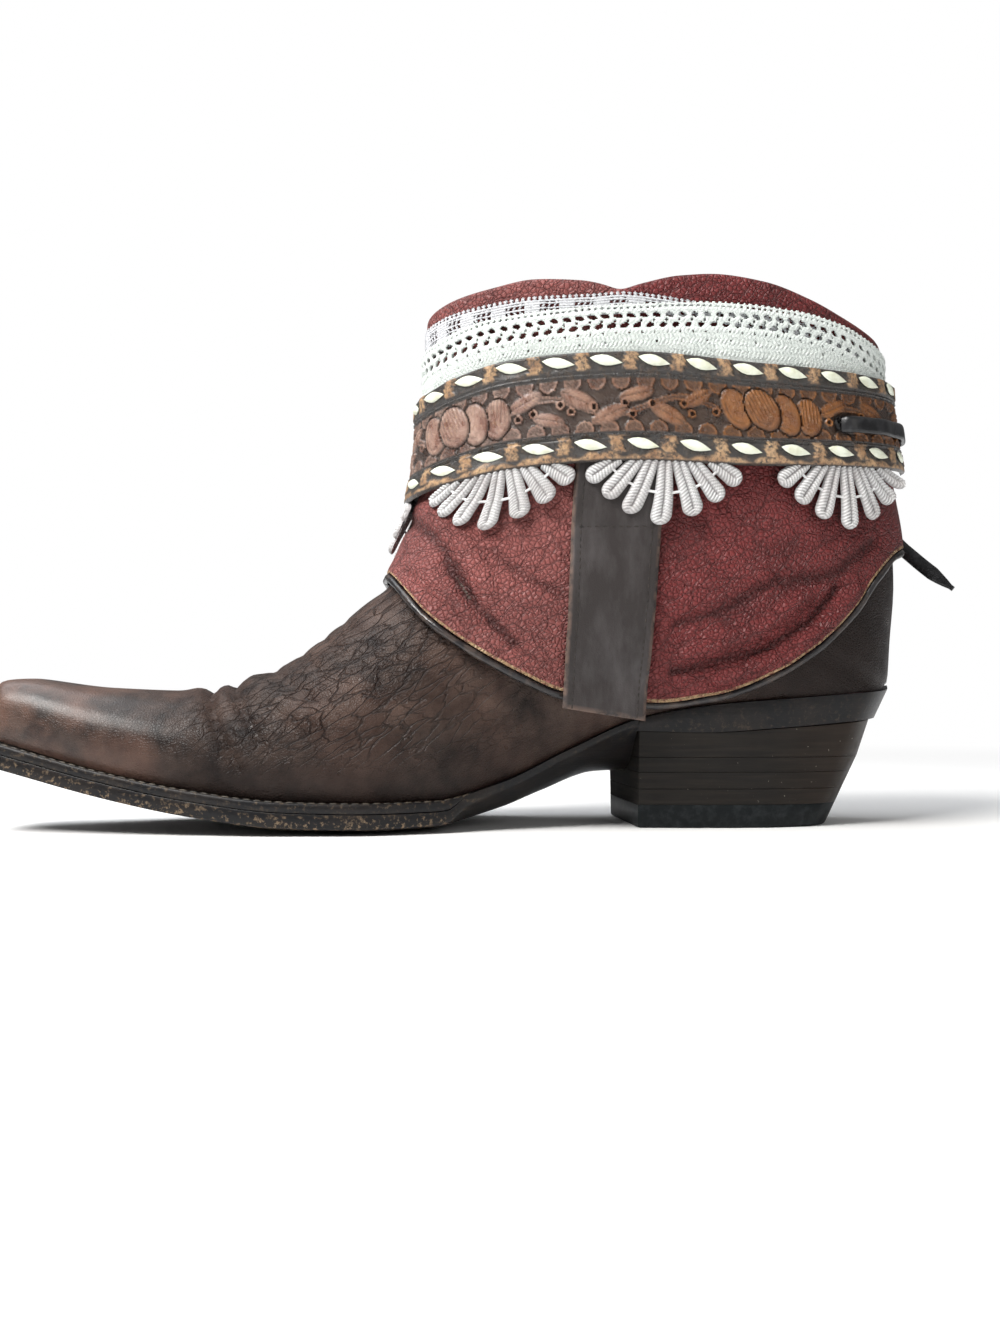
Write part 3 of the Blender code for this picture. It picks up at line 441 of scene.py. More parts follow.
class Look:
    """A material in the making: its nodes, its shader, and places on the piece in the boot's frame."""

    def __init__(self, name, roughness, specular=0.5):
        self.material = bpy.data.materials.new(name)
        self.material.use_nodes = True
        self.tree = self.material.node_tree
        self.shader = self.tree.nodes["Principled BSDF"]
        self.place = node(self.tree, "ShaderNodeTexCoord").outputs["Object"]
        self.feed("Roughness", roughness)
        self.feed("Specular IOR Level", specular)

    def feed(self, socket, value):
        """Sets or links one of the shader's inputs."""
        put(self.tree, self.shader.inputs[socket], value)

    def maths(self, operation, first, second):
        """One arithmetic step between two values."""
        return node(self.tree, "ShaderNodeMath", {0: first, 1: second}, operation=operation).outputs[0]

    def times(self, first, second):
        """Two values multiplied."""
        return self.maths("MULTIPLY", first, second)

    def ramp(self, value, low, high, start=0.0, end=1.0):
        """A value brought from one range to another and kept inside it."""
        return map_range(self.tree, value, low, high, start, end)

    def mix(self, share, first, second):
        """Two colours mixed by a share of the second."""
        return node(self.tree, "ShaderNodeMix", {0: share, 6: first, 7: second}, data_type="RGBA").outputs[2]

    def axis(self, name):
        """Place along one axis of the boot's frame."""
        return node(self.tree, "ShaderNodeSeparateXYZ", {"Vector": self.place}).outputs[name]

    def mask(self, label):
        """A mask that the mesh carries as an attribute."""
        return node(self.tree, "ShaderNodeAttribute", attribute_name=label).outputs["Fac"]

    def stretched(self, scale):
        """Places scaled along each axis, so that a pattern read there is drawn out."""
        return node(self.tree, "ShaderNodeMapping", {"Vector": self.place, "Scale": scale}).outputs[0]

    def noise(self, size, detail=3.0, roughness=0.55, place=None):
        """Soft noise with lumps of a size in millimetres."""
        return node(self.tree, "ShaderNodeTexNoise", {
            "Vector": self.place if place is None else place, "Scale": 1 / (size * MM), "Detail": detail,
            "Roughness": roughness}).outputs["Fac"]

    def grain(self, size, warp=0.8):
        """The pebbled grain, with pebbles of a size and a warp in millimetres."""
        return node(self.tree, "ShaderNodeGroup", {
            "Vector": self.place, "Cells per metre": 1 / (size * MM), "Warp": warp * MM},
            node_tree=leather_grain).outputs

    def creases(self, turn, stretch, size, thin):
        """The fine creases, with cells of about a size whose lines rise backwards at a turn in degrees and
        are drawn out along it."""
        laid = node(self.tree, "ShaderNodeMapping", {
            "Vector": self.place, "Rotation": (0, -math.radians(turn), 0), "Scale": (stretch, 1.3, 1.0)},
            vector_type="TEXTURE")
        return node(self.tree, "ShaderNodeGroup", {
            "Vector": laid.outputs[0], "Cells per metre": 1 / (size * MM), "Thin": thin},
            node_tree=fine_creases).outputs["Line"]

    def bump(self, height, distance):
        """Feeds a height, with its depth in millimetres, into the shader's normal."""
        bumped = node(self.tree, "ShaderNodeBump", {
            "Height": height, "Distance": distance * MM, "Strength": 1.0})
        self.feed("Normal", bumped.outputs["Normal"])


oiled_leather = look = Look("oiled brown leather", 0.42, 0.17)
slanting = look.creases(36, 3.4, 3.6, 0.075)
crossing = look.creases(14, 2.2, 3.0, 0.055)
patches = look.ramp(look.noise(16.0, 3.0), 0.38, 0.60)
worn_part = look.ramp(look.noise(26.0, 5.0), 0.42, 0.66)
toe_part = look.ramp(look.axis("X"), -0.085, -0.135)
break_part = look.times(look.ramp(look.axis("X"), -0.100, -0.065), look.ramp(look.axis("X"), 0.035, -0.015))
above_feather = look.ramp(look.axis("Z"), 0.016, 0.030)
lines = look.maths("MAXIMUM", slanting, look.times(crossing, look.times(patches, 0.7)))
lines = look.times(lines, look.times(break_part, above_feather))
pebbles = look.grain(0.9)
brown = look.mix(look.ramp(look.noise(9.0, 6.0), 0.35, 0.7), BROWN_DARK, BROWN)
brown = look.mix(look.times(worn_part, look.ramp(toe_part, 0.0, 1.0, 0.2, 0.9)), brown, BROWN_WORN)
brown = look.mix(look.times(lines, 0.8), brown, BROWN_DARK)
# Painted shade: the upper is darkened towards the heel, where its rear lies turned from the light. It is also
# darker towards the bottom along the feather line.
painted_rear_shade = look.times(look.ramp(look.axis("X"), 0.035, 0.105), 0.9)
feather_line = look.times(look.ramp(look.axis("Z"), 0.040, 0.012),
                          look.ramp(look.axis("X"), -0.11, -0.06, 0.3, 0.75))
brown = look.mix(look.maths("MAXIMUM", painted_rear_shade, feather_line), brown, BROWN_DARK)
look.feed("Base Color", brown)
look.feed("Roughness", look.ramp(look.noise(6.0, 4.0), 0.3, 0.7, 0.27, 0.46))
relief = look.maths("SUBTRACT", look.times(pebbles["Height"], 0.25), lines)
look.bump(relief, 0.42)
look.feed("Coat Weight", look.times(toe_part, 0.55))
look.feed("Coat Roughness", 0.3)

burgundy_lining = look = Look("burgundy lining leather", 0.5)
pebbles = look.grain(1.3)
red = look.mix(look.ramp(look.noise(14.0, 4.0), 0.35, 0.7), (0.10, 0.018, 0.017, 1), (0.17, 0.042, 0.04, 1))
look.feed("Base Color", red)
look.bump(pebbles["Height"], 0.12)

turn = np.linspace(-1, 1, 2 * UPPER_HALF_COLUMNS + 1)
fine_row = np.linspace(0, HEEL_EDGE_ROW, FINE_ROWS)
ridge_run = np.hypot(np.gradient(last("ridge_x", fine_row)), np.gradient(last("ridge_z", fine_row)))
base_run = np.hypot(np.gradient(last("base_x", fine_row)), np.gradient(last("base_z", fine_row)))
going = np.cumsum(ridge_run + base_run)
foot_rows = np.interp(np.linspace(going[0], going[-1], FOOT_ROWS), going, fine_row)
top_row = row_at_height(turn, lambda x: along(COLLAR, x) - COLLAR_ROLL - BELOW_FOLD)
share = np.linspace(0, 1, SHAFT_ROWS + 1)[1:, None]
rows = np.concatenate([np.repeat(foot_rows[:, None], len(turn), axis=1),
                       HEEL_EDGE_ROW + share * (top_row - HEEL_EDGE_ROW)])
points = upper_points(rows, turn)
points += upper_normals(rows, turn) * fold_height(points, VAMP_FOLDS)[..., None]
toe_plate = strip_cap(np.arange(len(turn)))[:, ::-1]
quads = np.concatenate([grid_quads(*rows.shape), toe_plate])
at_back = (quads // len(turn) >= FOOT_ROWS - 1) & (quads % len(turn) == len(turn) - 1)
used, quads = np.unique(np.where(at_back, quads - len(turn) + 1, quads), return_inverse=True)
upper = add_piece("boot_upper", points.reshape(-1, 3)[used], quads.reshape(-1, 4), oiled_leather,
                  ["upper"])
upper.data.materials.append(burgundy_lining.material)
wall = upper.modifiers.new("wall", "SOLIDIFY")
wall.thickness = UPPER_WALL * MM
wall.offset = -1
wall.material_offset = 1


# The outsole is one piece of sole leather from the toe, through the rounded waist, to the seat over
# the heel. Its edge is trimmed, dyed dark and waxed, and it is scuffed pale along the tread.
EDGE_ROUND, SEAM_ROUND = 0.5, 0.12
WELT_THICKNESS, WELT_END, WELT_RUN_OUT = 3.0, 150.0, 6.0
HEEL_BREAST, HEEL_TOP = 213.0, 45.3
SHANK_END = HEEL_BREAST - 2 * GAP
HEEL_BACK_TOP, HEEL_BACK_FOOT, HEEL_FOOT_WIDTH = 304.2, 282.0, 0.84
SOLE_ACROSS, SOLE_TOP_ACROSS = 41, 9
SOLE_FRONT, TOE_RUN, SOLE_BACK, BACK_RUN = 4.0, 12.0, 303.0, 7.0
WALL_DOWN, WALL_INSET = np.array([0.04, 0.5, 0.85]), np.array([0.0, 0.0, 0.08])
WALL_SCUFF = np.array([0.3, 0.55, 0.9])
TREAD_MIDDLE, TREAD_REACH, TREAD_ENDS, TREAD_WEAR = 105.0, 60.0, (60.0, 165.0), 0.55
EDGE_LAYERS_PER_MM = 1.8
SOLE_POINTS = {"toe": 26, "welt": 110, "shank": 48, "seat": 52, "back": 18}
SOLE_COLUMNS = ("at", "margin", "reach", "edge", "flat")
SOLE_ROWS = (
    (4.0, 0.4, -2.8, 4.6, 0.5),
    (4.3, 1.6, -2.7, 4.6, 0.5),
    (6.6, 2.8, -2.4, 4.6, 0.5),
    (16.0, 3.5, -1.2, 4.6, 0.5),
    (42.0, 4.0, 0.0, 4.6, 0.5),
    (122.0, 4.2, 0.0, 4.6, 0.5),
    (145.0, 3.2, 0.0, 4.2, 0.4),
    (167.0, 2.0, 0.0, 2.6, 0.1),
    (190.0, 1.8, 0.0, 2.4, 0.0),
    (213.0, 1.6, 0.0, 2.4, 0.0),
    (265.0, 1.5, 0.0, 2.4, 0.0),
    (300.0, 1.8, 0.7, 2.4, 0.0),
    (303.0, 2.5, 1.2, 2.4, 0.0),
)
SOLE = dict(zip(SOLE_COLUMNS, np.array(SOLE_ROWS).T))
SOLE_BOTTOM = ((4, 21.9), (42, 11.2), (73, 4.9), (92, 1.0), (104, 0), (142, 0), (152, 1.2),
               (170, 5.6), (184, 11.0), (202, 17.4), (213, 18.0))
SEAT_BOTTOM = ((212, 31.9), (235, 31.4), (262, 32.9), (290, 35.0), (305, 36.2))
EDGE_BLACK, EDGE_BROWN, EDGE_BARE = (0.009, 0.009, 0.010, 1), (0.017, 0.014, 0.013, 1), (0.30, 0.21, 0.13, 1)


def rim_place(at, side):
    """The upper's rim in plan, and its height, at places along the feather line."""
    rows = slice(0, HEEL_EDGE_ROW + 1)
    feather = LAST["base_x"][rows]
    inner = smooth(feather, (LAST["rim_swing"] - LAST["rim"])[rows], at)
    outer = smooth(feather, (LAST["rim_swing"] + LAST["rim"])[rows], at)
    return at, np.where(np.asarray(side) < 0, inner, outer), smooth(feather, LAST["base_z"][rows], at)


def sole(column, at):
    """Reads a column of the sole's table at places along the rim."""
    return smooth(SOLE["at"], SOLE[column], at)


def sole_edge(at, side):
    """The sole's edge in plan, outside the rim by the margin and the reach."""
    x, y, _ = rim_place(at, side)
    return x + sole("reach", at), y + side * sole("margin", at)


def sole_top(at):
    """Top of the outsole: just under the rim at the back, and under the welt in front."""
    behind_welt = held((at - WELT_END - GAP) / WELT_RUN_OUT)
    return rim_place(at, OUTER)[2] - GAP - (WELT_THICKNESS + GAP) * (1 - behind_welt)


def draw_in(points):
    """Tapers points of the seat's outline towards the foot of the heel, in step with their height."""
    x, y, z = np.moveaxis(points, -1, 0)
    rise = z / HEEL_TOP
    back = HEEL_BACK_FOOT + (HEEL_BACK_TOP - HEEL_BACK_FOOT) * rise
    x = HEEL_BREAST + (x - HEEL_BREAST) * (back - HEEL_BREAST) / (HEEL_BACK_TOP - HEEL_BREAST)
    return np.stack([x, y * (HEEL_FOOT_WIDTH + (1 - HEEL_FOOT_WIDTH) * rise), z], axis=-1)


waxed_edge = look = Look("waxed sole edge", 0.38, 0.2)
speckle = look.noise(1.6, 5.0, 0.7)
bare = look.times(look.mask("scuffed"), look.ramp(speckle, 0.54, 0.64))
dyed = look.mix(look.ramp(look.noise(12.0, 4.0), 0.4, 0.65), EDGE_BLACK, EDGE_BROWN)
look.feed("Base Color", look.mix(look.times(bare, 0.85), dyed, EDGE_BARE))
look.feed("Roughness", look.ramp(bare, 0.0, 1.0, 0.33, 0.8))
layers = look.noise(1 / EDGE_LAYERS_PER_MM, 3.0, 0.5, look.stretched((0.04, 0.04, 1.0)))
look.bump(look.maths("ADD", look.times(layers, 0.5), speckle), 0.08)

toe_going = SOLE_FRONT + TOE_RUN * np.linspace(0, 1, SOLE_POINTS["toe"]) ** 2
at = np.concatenate([toe_going, np.linspace(toe_going[-1] + 1, WELT_END, SOLE_POINTS["welt"]),
                     np.linspace(WELT_END + 2 * GAP, SHANK_END, SOLE_POINTS["shank"]),
                     np.linspace(SHANK_END + GAP, SOLE_BACK - BACK_RUN, SOLE_POINTS["seat"]),
                     SOLE_BACK - BACK_RUN * np.linspace(0.95, 0, SOLE_POINTS["back"]) ** 2])[:, None]
in_seat = at > SHANK_END
x, inner = sole_edge(at, INNER)
outer = sole_edge(at, OUTER)[1]
top = sole_top(at)
edge = np.where(in_seat, along(SEAT_BOTTOM, at), top - sole("edge", at))
middle = np.where(in_seat, edge, np.minimum(along(SOLE_BOTTOM, at), edge))
across = np.linspace(-1, 1, SOLE_ACROSS)
flat = sole("flat", at)
rise = held((np.abs(across) - flat) / (1 - flat)) ** 2
ring_across = np.concatenate([np.linspace(1, -1, SOLE_TOP_ACROSS), [-1] * 3, across, [1] * 3])
ring_inset = np.concatenate([[SEAM_ROUND] * SOLE_TOP_ACROSS, WALL_INSET, [EDGE_ROUND] * SOLE_ACROSS,
                             WALL_INSET[::-1]])
ring_inset = np.where(in_seat, np.minimum(ring_inset, SEAM_ROUND), ring_inset)
ring_z = np.concatenate([np.repeat(top, SOLE_TOP_ACROSS, axis=1), top + (edge - top) * WALL_DOWN,
                         middle + (edge - middle) * rise, top + (edge - top) * WALL_DOWN[::-1]], axis=1)
half = np.maximum((outer - inner) / 2 - ring_inset, 0.2)
points = np.stack([np.broadcast_to(x, ring_z.shape), (inner + outer) / 2 + ring_across * half, ring_z],
                  axis=-1)
points = np.where(in_seat[..., None], draw_in(points), points)
on_edge = np.concatenate([np.zeros(SOLE_TOP_ACROSS), WALL_SCUFF, 0.8 * held((np.abs(across) - 0.8) / 0.15),
                          WALL_SCUFF[::-1]])
under = np.concatenate([np.zeros(SOLE_TOP_ACROSS + 3), held(1.2 - np.abs(across)), np.zeros(3)])
tread = TREAD_WEAR * under * held(1 - np.abs(np.clip(at, *TREAD_ENDS) - TREAD_MIDDLE) / TREAD_REACH)
scuffed = held(on_edge * np.clip((TREAD_ENDS[1] - at) / 20, 0.12, 1) + tread)
add_piece("boot_outsole", points, loft_quads(*ring_z.shape), waxed_edge,
          ["outsole"], {"scuffed": scuffed})

# The welt is a strip of leather sewn round the forefoot to join the upper to the sole. Its edge is
# dyed with the sole's, and a row of waxed thread shows along its top.
TOE_TURN, WELT_UNDER_UPPER = (20.0, 4.0), 2.8
WELT_EDGE_IN, WELT_UNDER_SHARE = (0.5, 0.08, 0, 0, SEAM_ROUND), (1, 1, 0.5)
WELT_DOWN = np.array([0, 0.45, 1.5, 2.85, WELT_THICKNESS, WELT_THICKNESS, 0, 0])
WELT_SCUFF = (0.3, 0.3, 0.2, 0.1, 0, 0, 0, 0.2)
STITCH_PITCH, STITCH_LENGTH, STITCH_RADIUS, STITCH_IN = 3.3, 2.5, 0.42, 0.36
BEAD_PLACES = np.array([-1, -0.94, -0.7, -0.35, 0, 0.35, 0.7, 0.94, 1])
BEAD_AROUND, BEAD_LEAST, WELT_POINTS = 8, 0.02, 116
going = np.concatenate([np.linspace(WELT_END + WELT_RUN_OUT - GAP, toe_going[-1] + 1, WELT_POINTS),
                        toe_going[::-1]])
path_at = np.concatenate([going, going[::-1]])[:, None]
path_side = np.repeat([INNER, OUTER], len(going))[:, None]


def beads(centre, run, up, length, width, height, profile):
    """Closed small bodies, one at each centre: rings along the run whose half width follows a
    profile of the place from -1 to 1, oval between the given width and height."""
    share = BEAD_PLACES
    angle = np.linspace(0, 2 * math.pi, BEAD_AROUND, endpoint=False)
    side = np.cross(run, up)
    size = np.maximum(profile(share), BEAD_LEAST)[:, None]
    shape = (centre[:, None, None] + run[:, None, None] * (share * length / 2)[None, :, None, None]
             + side[:, None, None] * (size * np.cos(angle) * width / 2)[None, :, :, None]
             + up[:, None, None] * (size * np.sin(angle) * height / 2)[None, :, :, None])
    one = loft_quads(len(share), len(angle))
    step = np.arange(len(centre))[:, None, None] * len(share) * len(angle)
    return shape.reshape(-1, 3), (one + step).reshape(-1, 4)


def lengths(path):
    """Length along a path from its start to each of its points."""
    return np.concatenate([[0], np.cumsum(np.linalg.norm(np.diff(path, axis=0), axis=1))])


def even_places(path, pitch):
    """Shares of a path's points, evenly spaced at about a pitch along it."""
    length = lengths(path)
    marks = np.linspace(0, length[-1], max(int(length[-1] / pitch), 2))
    return np.interp(marks, length, np.arange(len(path)))


def unit(vectors):
    """Vectors brought to length one."""
    return vectors / np.linalg.norm(vectors, axis=-1, keepdims=True)


def pick(path, place):
    """Points of a path at fractional places."""
    steps = np.arange(len(path))
    return np.stack([np.interp(place, steps, path[:, i]) for i in range(3)], axis=-1)


def squared(out, run):
    """Outward directions turned square to the run."""
    return unit(out - run * np.sum(out * run, axis=-1, keepdims=True))


def stitch_row(path, up, pitch, length, radius):
    """Stitches laid end to end along a path on a surface whose outward direction is up."""
    place = even_places(path, pitch)
    run = unit(pick(np.gradient(path, axis=0), place))
    return beads(pick(path, place), run, squared(pick(up, place), run), length, 2 * radius, 1.5 * radius,
                 lambda s: (1 - s ** 4) ** 0.5)


def join(shapes):
    """Points and quads of several shapes as one."""
    steps = np.cumsum([0] + [len(points) for points, _ in shapes])[:-1]
    return (np.concatenate([points for points, _ in shapes]),
            np.concatenate([quads + step for (_, quads), step in zip(shapes, steps)]))


x, y = sole_edge(path_at, path_side)
rim_x, rim_y, rim_z = rim_place(path_at, path_side)
inside_x = rim_x + WELT_UNDER_UPPER * held((path_at - TOE_TURN[0]) / (TOE_TURN[1] - TOE_TURN[0]))
inside_y = rim_y - path_side * WELT_UNDER_UPPER
toward_x, toward_y = inside_x - x, inside_y - y
reach = np.hypot(toward_x, toward_y)
ring_in = np.concatenate([np.array(WELT_EDGE_IN) / reach, np.ones_like(reach) * np.array(WELT_UNDER_SHARE)],
                         axis=1)
run_out = held(1 - (path_at - WELT_END - GAP) / WELT_RUN_OUT)
points = np.stack([x + toward_x * ring_in, y + toward_y * ring_in,
                   rim_z - GAP - WELT_DOWN * run_out], axis=-1)
add_piece("boot_welt", points, loft_quads(*ring_in.shape), waxed_edge, ["welt"],
          {"scuffed": np.broadcast_to(WELT_SCUFF, ring_in.shape)})

waxed_thread = look = Look("waxed sole thread", 0.6)
thread = look.ramp(look.noise(3.0, 3.0), 0.35, 0.65)
look.feed("Base Color", look.mix(thread, (0.02, 0.017, 0.013, 1), (0.085, 0.068, 0.048, 1)))
row_in = STITCH_IN * sole("margin", path_at) / reach
row_path = np.concatenate([x + toward_x * row_in, y + toward_y * row_in, rim_z - GAP], axis=1)
points, quads = stitch_row(row_path, np.broadcast_to([0.0, 0.0, 1.0], row_path.shape), STITCH_PITCH,
                           STITCH_LENGTH, STITCH_RADIUS)
add_piece("welt_stitches", points, quads, waxed_thread)

# The insole is the tan leather board that the foot stands on, laid over the outsole inside the
# upper's rim. It is seen only from above.
INSOLE_THICKNESS, INSOLE_INSIDE_RIM, INSOLE_ROUND_END = 3.0, 3.4, 8.0
INSOLE_ENDS = {"toe": (22.0, 13.0), "heel": (252.0, 287.0)}
INSOLE_DISH, INSOLE_ACROSS, INSOLE_POINTS = 0.8, 15, 130
tan_insole = look = Look("tan insole leather", 0.6)
stained = look.ramp(look.noise(18.0, 5.0), 0.4, 0.7)
look.feed("Base Color", look.mix(stained, (0.30, 0.17, 0.09, 1), (0.15, 0.075, 0.04, 1)))
look.bump(look.grain(0.8)["Height"], 0.08)
at = np.linspace(INSOLE_ENDS["toe"][1], INSOLE_ENDS["heel"][1], INSOLE_POINTS)[:, None]
round_end = sum(held((at - start) / (end - start)) ** 2 for start, end in INSOLE_ENDS.values())
inset = INSOLE_INSIDE_RIM + INSOLE_ROUND_END * round_end
low = sole_top(at) + GAP
inner, outer = rim_place(at, INNER)[1] + inset, rim_place(at, OUTER)[1] - inset
across = np.concatenate([np.linspace(-1, 1, INSOLE_ACROSS), np.linspace(1, -1, INSOLE_ACROSS)])
on_top = np.repeat([0, 1], INSOLE_ACROSS)
y = (inner + outer) / 2 + across * (outer - inner) / 2
z = low + on_top * (INSOLE_THICKNESS - INSOLE_DISH * (1 - across ** 2))
points = np.stack([np.broadcast_to(at, z.shape), y, z], axis=-1)
add_piece("boot_insole", points, loft_quads(*z.shape), tan_insole, ["insole"])

# The heel is built up of leather lifts, glued, nailed and shaped as one, with a rubber cap on the
# ground. Its sides are dyed and polished, so that only thin lines show where the lifts meet.
CAP_HEIGHT, CAP_EDGE, LIFT_EDGE, LIFT_SEAM = 7.6, 1.0, 0.10, 0.04
LIFT_TOPS = (12.9, 18.4, 23.3)
HEEL_ROUND_RUN, HEEL_SIDE_POINTS, HEEL_ROUND_POINTS = 13.0, 50, 30
STACK_BANDS_PER_MM = 0.9
TOP_LIFT_SHARES = np.array([0, 0.012, 0.036, 0.5, 0.964, 0.988, 1])
heel_going = np.concatenate([np.linspace(HEEL_BREAST, SOLE_BACK - HEEL_ROUND_RUN, HEEL_SIDE_POINTS),
                             SOLE_BACK - HEEL_ROUND_RUN * np.linspace(0.98, 0, HEEL_ROUND_POINTS) ** 2])


def heel_ring(height, inset):
    """The heel's outline at a height: the seat's own outline drawn in towards the heel's foot."""
    sides = []
    for side in (INNER, OUTER):
        x, y = sole_edge(heel_going, side)
        edge = draw_in(np.column_stack([x, y, np.broadcast_to(height, x.shape)]))
        edge[:, 0] = np.clip(edge[:, 0], HEEL_BREAST + inset, edge[-1, 0] - inset)
        edge[:, 1] -= side * inset
        sides.append(edge)
    return np.concatenate([sides[0], sides[1][::-1]])


def heel_levels(low, top):
    """Heights and insets of a lift's rings, with its two edges a little rounded."""
    return [(low, LIFT_EDGE), (low + LIFT_EDGE, 0), (low + 3 * LIFT_EDGE, 0),
            (top - 3 * LIFT_EDGE, 0), (top - LIFT_EDGE, 0), (top, LIFT_EDGE)]


def frame_x(along_boot):
    """Place on the frame's X axis, in metres, of a place in millimetres from the toe."""
    return (along_boot - ORIGIN[0]) * MM


polished_stack = look = Look("polished heel stack", 0.3, 0.14)
banding = look.noise(1 / STACK_BANDS_PER_MM, 4.0, 0.5, look.stretched((0.05, 0.05, 1.0)))
warm_back = look.ramp(look.axis("X"), 0.10, 0.145)
dark_side = look.mix(look.ramp(banding, 0.4, 0.65), (0.0115, 0.010, 0.009, 1), (0.0175, 0.0145, 0.012, 1))
dark_side = look.mix(look.times(warm_back, 0.2), dark_side, (0.085, 0.040, 0.016, 1))
raw_breast = look.ramp(look.axis("X"), frame_x(HEEL_BREAST + 0.3), frame_x(HEEL_BREAST + 0.1))
polish = look.ramp(look.noise(8.0, 4.0), 0.3, 0.7, 0.32, 0.5)
specks = look.ramp(look.noise(1.1, 2.0), 0.735, 0.76)
look.feed("Base Color", look.mix(look.times(specks, 0.7), dark_side, (0.35, 0.31, 0.26, 1)))
look.feed("Roughness", look.maths("MAXIMUM", raw_breast, polish))
look.bump(banding, 0.06)

cap_rubber = look = Look("black cap rubber", 0.5, 0.15)
dusty = look.ramp(look.noise(3.0, 5.0, 0.65), 0.45, 0.75)
look.feed("Base Color", look.mix(dusty, (0.006, 0.008, 0.009, 1), (0.020, 0.023, 0.025, 1)))
look.bump(look.noise(0.8, 2.0), 0.05)

cap_levels = [(0, CAP_EDGE), (0.35 * CAP_EDGE, 0.35 * CAP_EDGE), (CAP_EDGE, 0), (CAP_HEIGHT / 2, 0),
              (CAP_HEIGHT - LIFT_EDGE, 0), (CAP_HEIGHT, LIFT_EDGE)]
rings = np.stack([heel_ring(height, inset) for height, inset in cap_levels])
add_piece("boot_heel_cap", rings, loft_quads(*rings.shape[:2]), cap_rubber, ["heel_cap"])
low = CAP_HEIGHT + LIFT_SEAM
for number, top in enumerate(LIFT_TOPS, start=1):
    rings = np.stack([heel_ring(height, inset) for height, inset in heel_levels(low, top)])
    add_piece(f"boot_heel_lift_{number}", rings, loft_quads(*rings.shape[:2]), polished_stack,
              [f"heel_lift_{number}"])
    low = top + LIFT_SEAM
share, foot = TOP_LIFT_SHARES, SEAT_BOTTOM[0][1]
inset = np.where((share == 0) | (share == 1), LIFT_EDGE, 0)
top = along(SEAT_BOTTOM, heel_ring(foot, 0)[:, 0]) - LIFT_SEAM
rings = np.stack([heel_ring(low + part * (foot - low), i) for part, i in zip(share, inset)])
rings[..., 2] = low + share[:, None] * (top - low)
add_piece("boot_heel_lift_4", rings, loft_quads(*rings.shape[:2]), polished_stack,
          ["heel_lift_4"])

# The cuff is the rest of the shaft, folded over the collar and turned down so that its burgundy
# lining faces out. Its cut hem was the shaft's scalloped top, sewn with tan thread.
CUFF_INSIDE, CUFF_FACE, CUFF_FLARE = 0.7, 2.5, 1.2
CUFF_COLUMNS, CUFF_WALL_ROWS, CUFF_BACK_ROWS = 480, 76, 16
SETTLING_STEPS, PROFILE_POINTS = 12, 4000
LINING_DOWN = np.array([3.4, 8.0, 8.3, 8.0, 3.6, 3.1])
LINING_IN = np.array([-2.62, -2.75, -2.6, -2.46, -2.46, -1.0])
SIDE_SEAM = 205.0
NOTCH_DEPTH, NOTCH_WIDTH = 1.0, 4.0
ROLL_MIDDLE, ROLL_HALF, ROLL_STEPS = 0.05, 2.45, 13
FAR_FROM_HEM = 99.0
HEM = ((134, 84), (144, 68.6), (156, 59.3), (172, 50.9), (185, 45.8), (200, 43.6), (217, 43),
       (236, 45.2), (256, 52.3), (272, 62.9), (282, 72.6), (289, 82.3), (299, 91.5), (307, 95))
# The front and back reds are lit and shaded copies of one burgundy, as painted light and shade; the dark red
# is painted shade in furrows, wrinkles and fold troughs.
RED_LIT_FRONT, RED_SHADED_BACK, RED_PAINTED_SHADE = (0.265, 0.080, 0.072, 1), (0.175, 0.030, 0.030, 1), (0.022, 0.004, 0.004, 1)
HEM_TAN = (0.36, 0.24, 0.13, 1)
CUFF_FOLDS = (
    {"line": ((139.0, 103.0), (149.0, 91.0), (157.0, 74.0)), "out": -1.1, "width": 2.1},
    {"line": ((147.0, 104.0), (155.0, 93.0), (163.0, 77.0)), "out": 1.9, "width": 3.2},
    {"line": ((143.0, 84.0), (150.0, 75.0), (158.0, 67.0)), "out": 1.8, "width": 2.4},
    {"line": ((150.0, 85.0), (159.0, 71.0), (170.0, 60.0)), "out": -1.0, "width": 1.7},
    {"line": ((163.0, 68.0), (173.0, 58.0), (182.0, 52.0)), "out": -0.6, "width": 1.6},
    {"line": ((165.0, 88.0), (176.0, 80.0), (186.0, 76.0)), "out": -0.8, "width": 1.8},
    {"line": ((222.0, 51.5), (250.0, 57.5), (266.0, 67.0), (276.0, 78.0)), "out": -1.4, "width": 1.5},
    {"line": ((236.0, 49.0), (258.0, 55.5), (273.0, 66.5), (282.0, 78.0)), "out": 1.9, "width": 2.3},
    {"line": ((226.0, 57.0), (250.0, 64.5), (264.0, 75.0)), "out": 2.0, "width": 2.8},
    {"line": ((258.0, 79.0), (276.0, 83.0), (290.0, 94.0)), "out": -1.1, "width": 2.2},
    {"line": ((256.0, 93.0), (270.0, 92.0), (284.0, 99.0)), "out": -0.4, "width": 2.4},
    {"line": ((222.0, 66.0), (240.0, 71.5), (256.0, 81.0)), "out": -1.1, "width": 1.6},
)


front_rows = np.linspace(FIRST_CUFF_ROW, LAST_ROW, PROFILE_POINTS)
back_rows = np.linspace(HEEL_EDGE_ROW, LAST_ROW, PROFILE_POINTS)
FRONT_X, FRONT_Z = last("ridge_x", front_rows), last("ridge_z", front_rows)
BACK_X, BACK_Z = last("base_x", back_rows), last("base_z", back_rows)


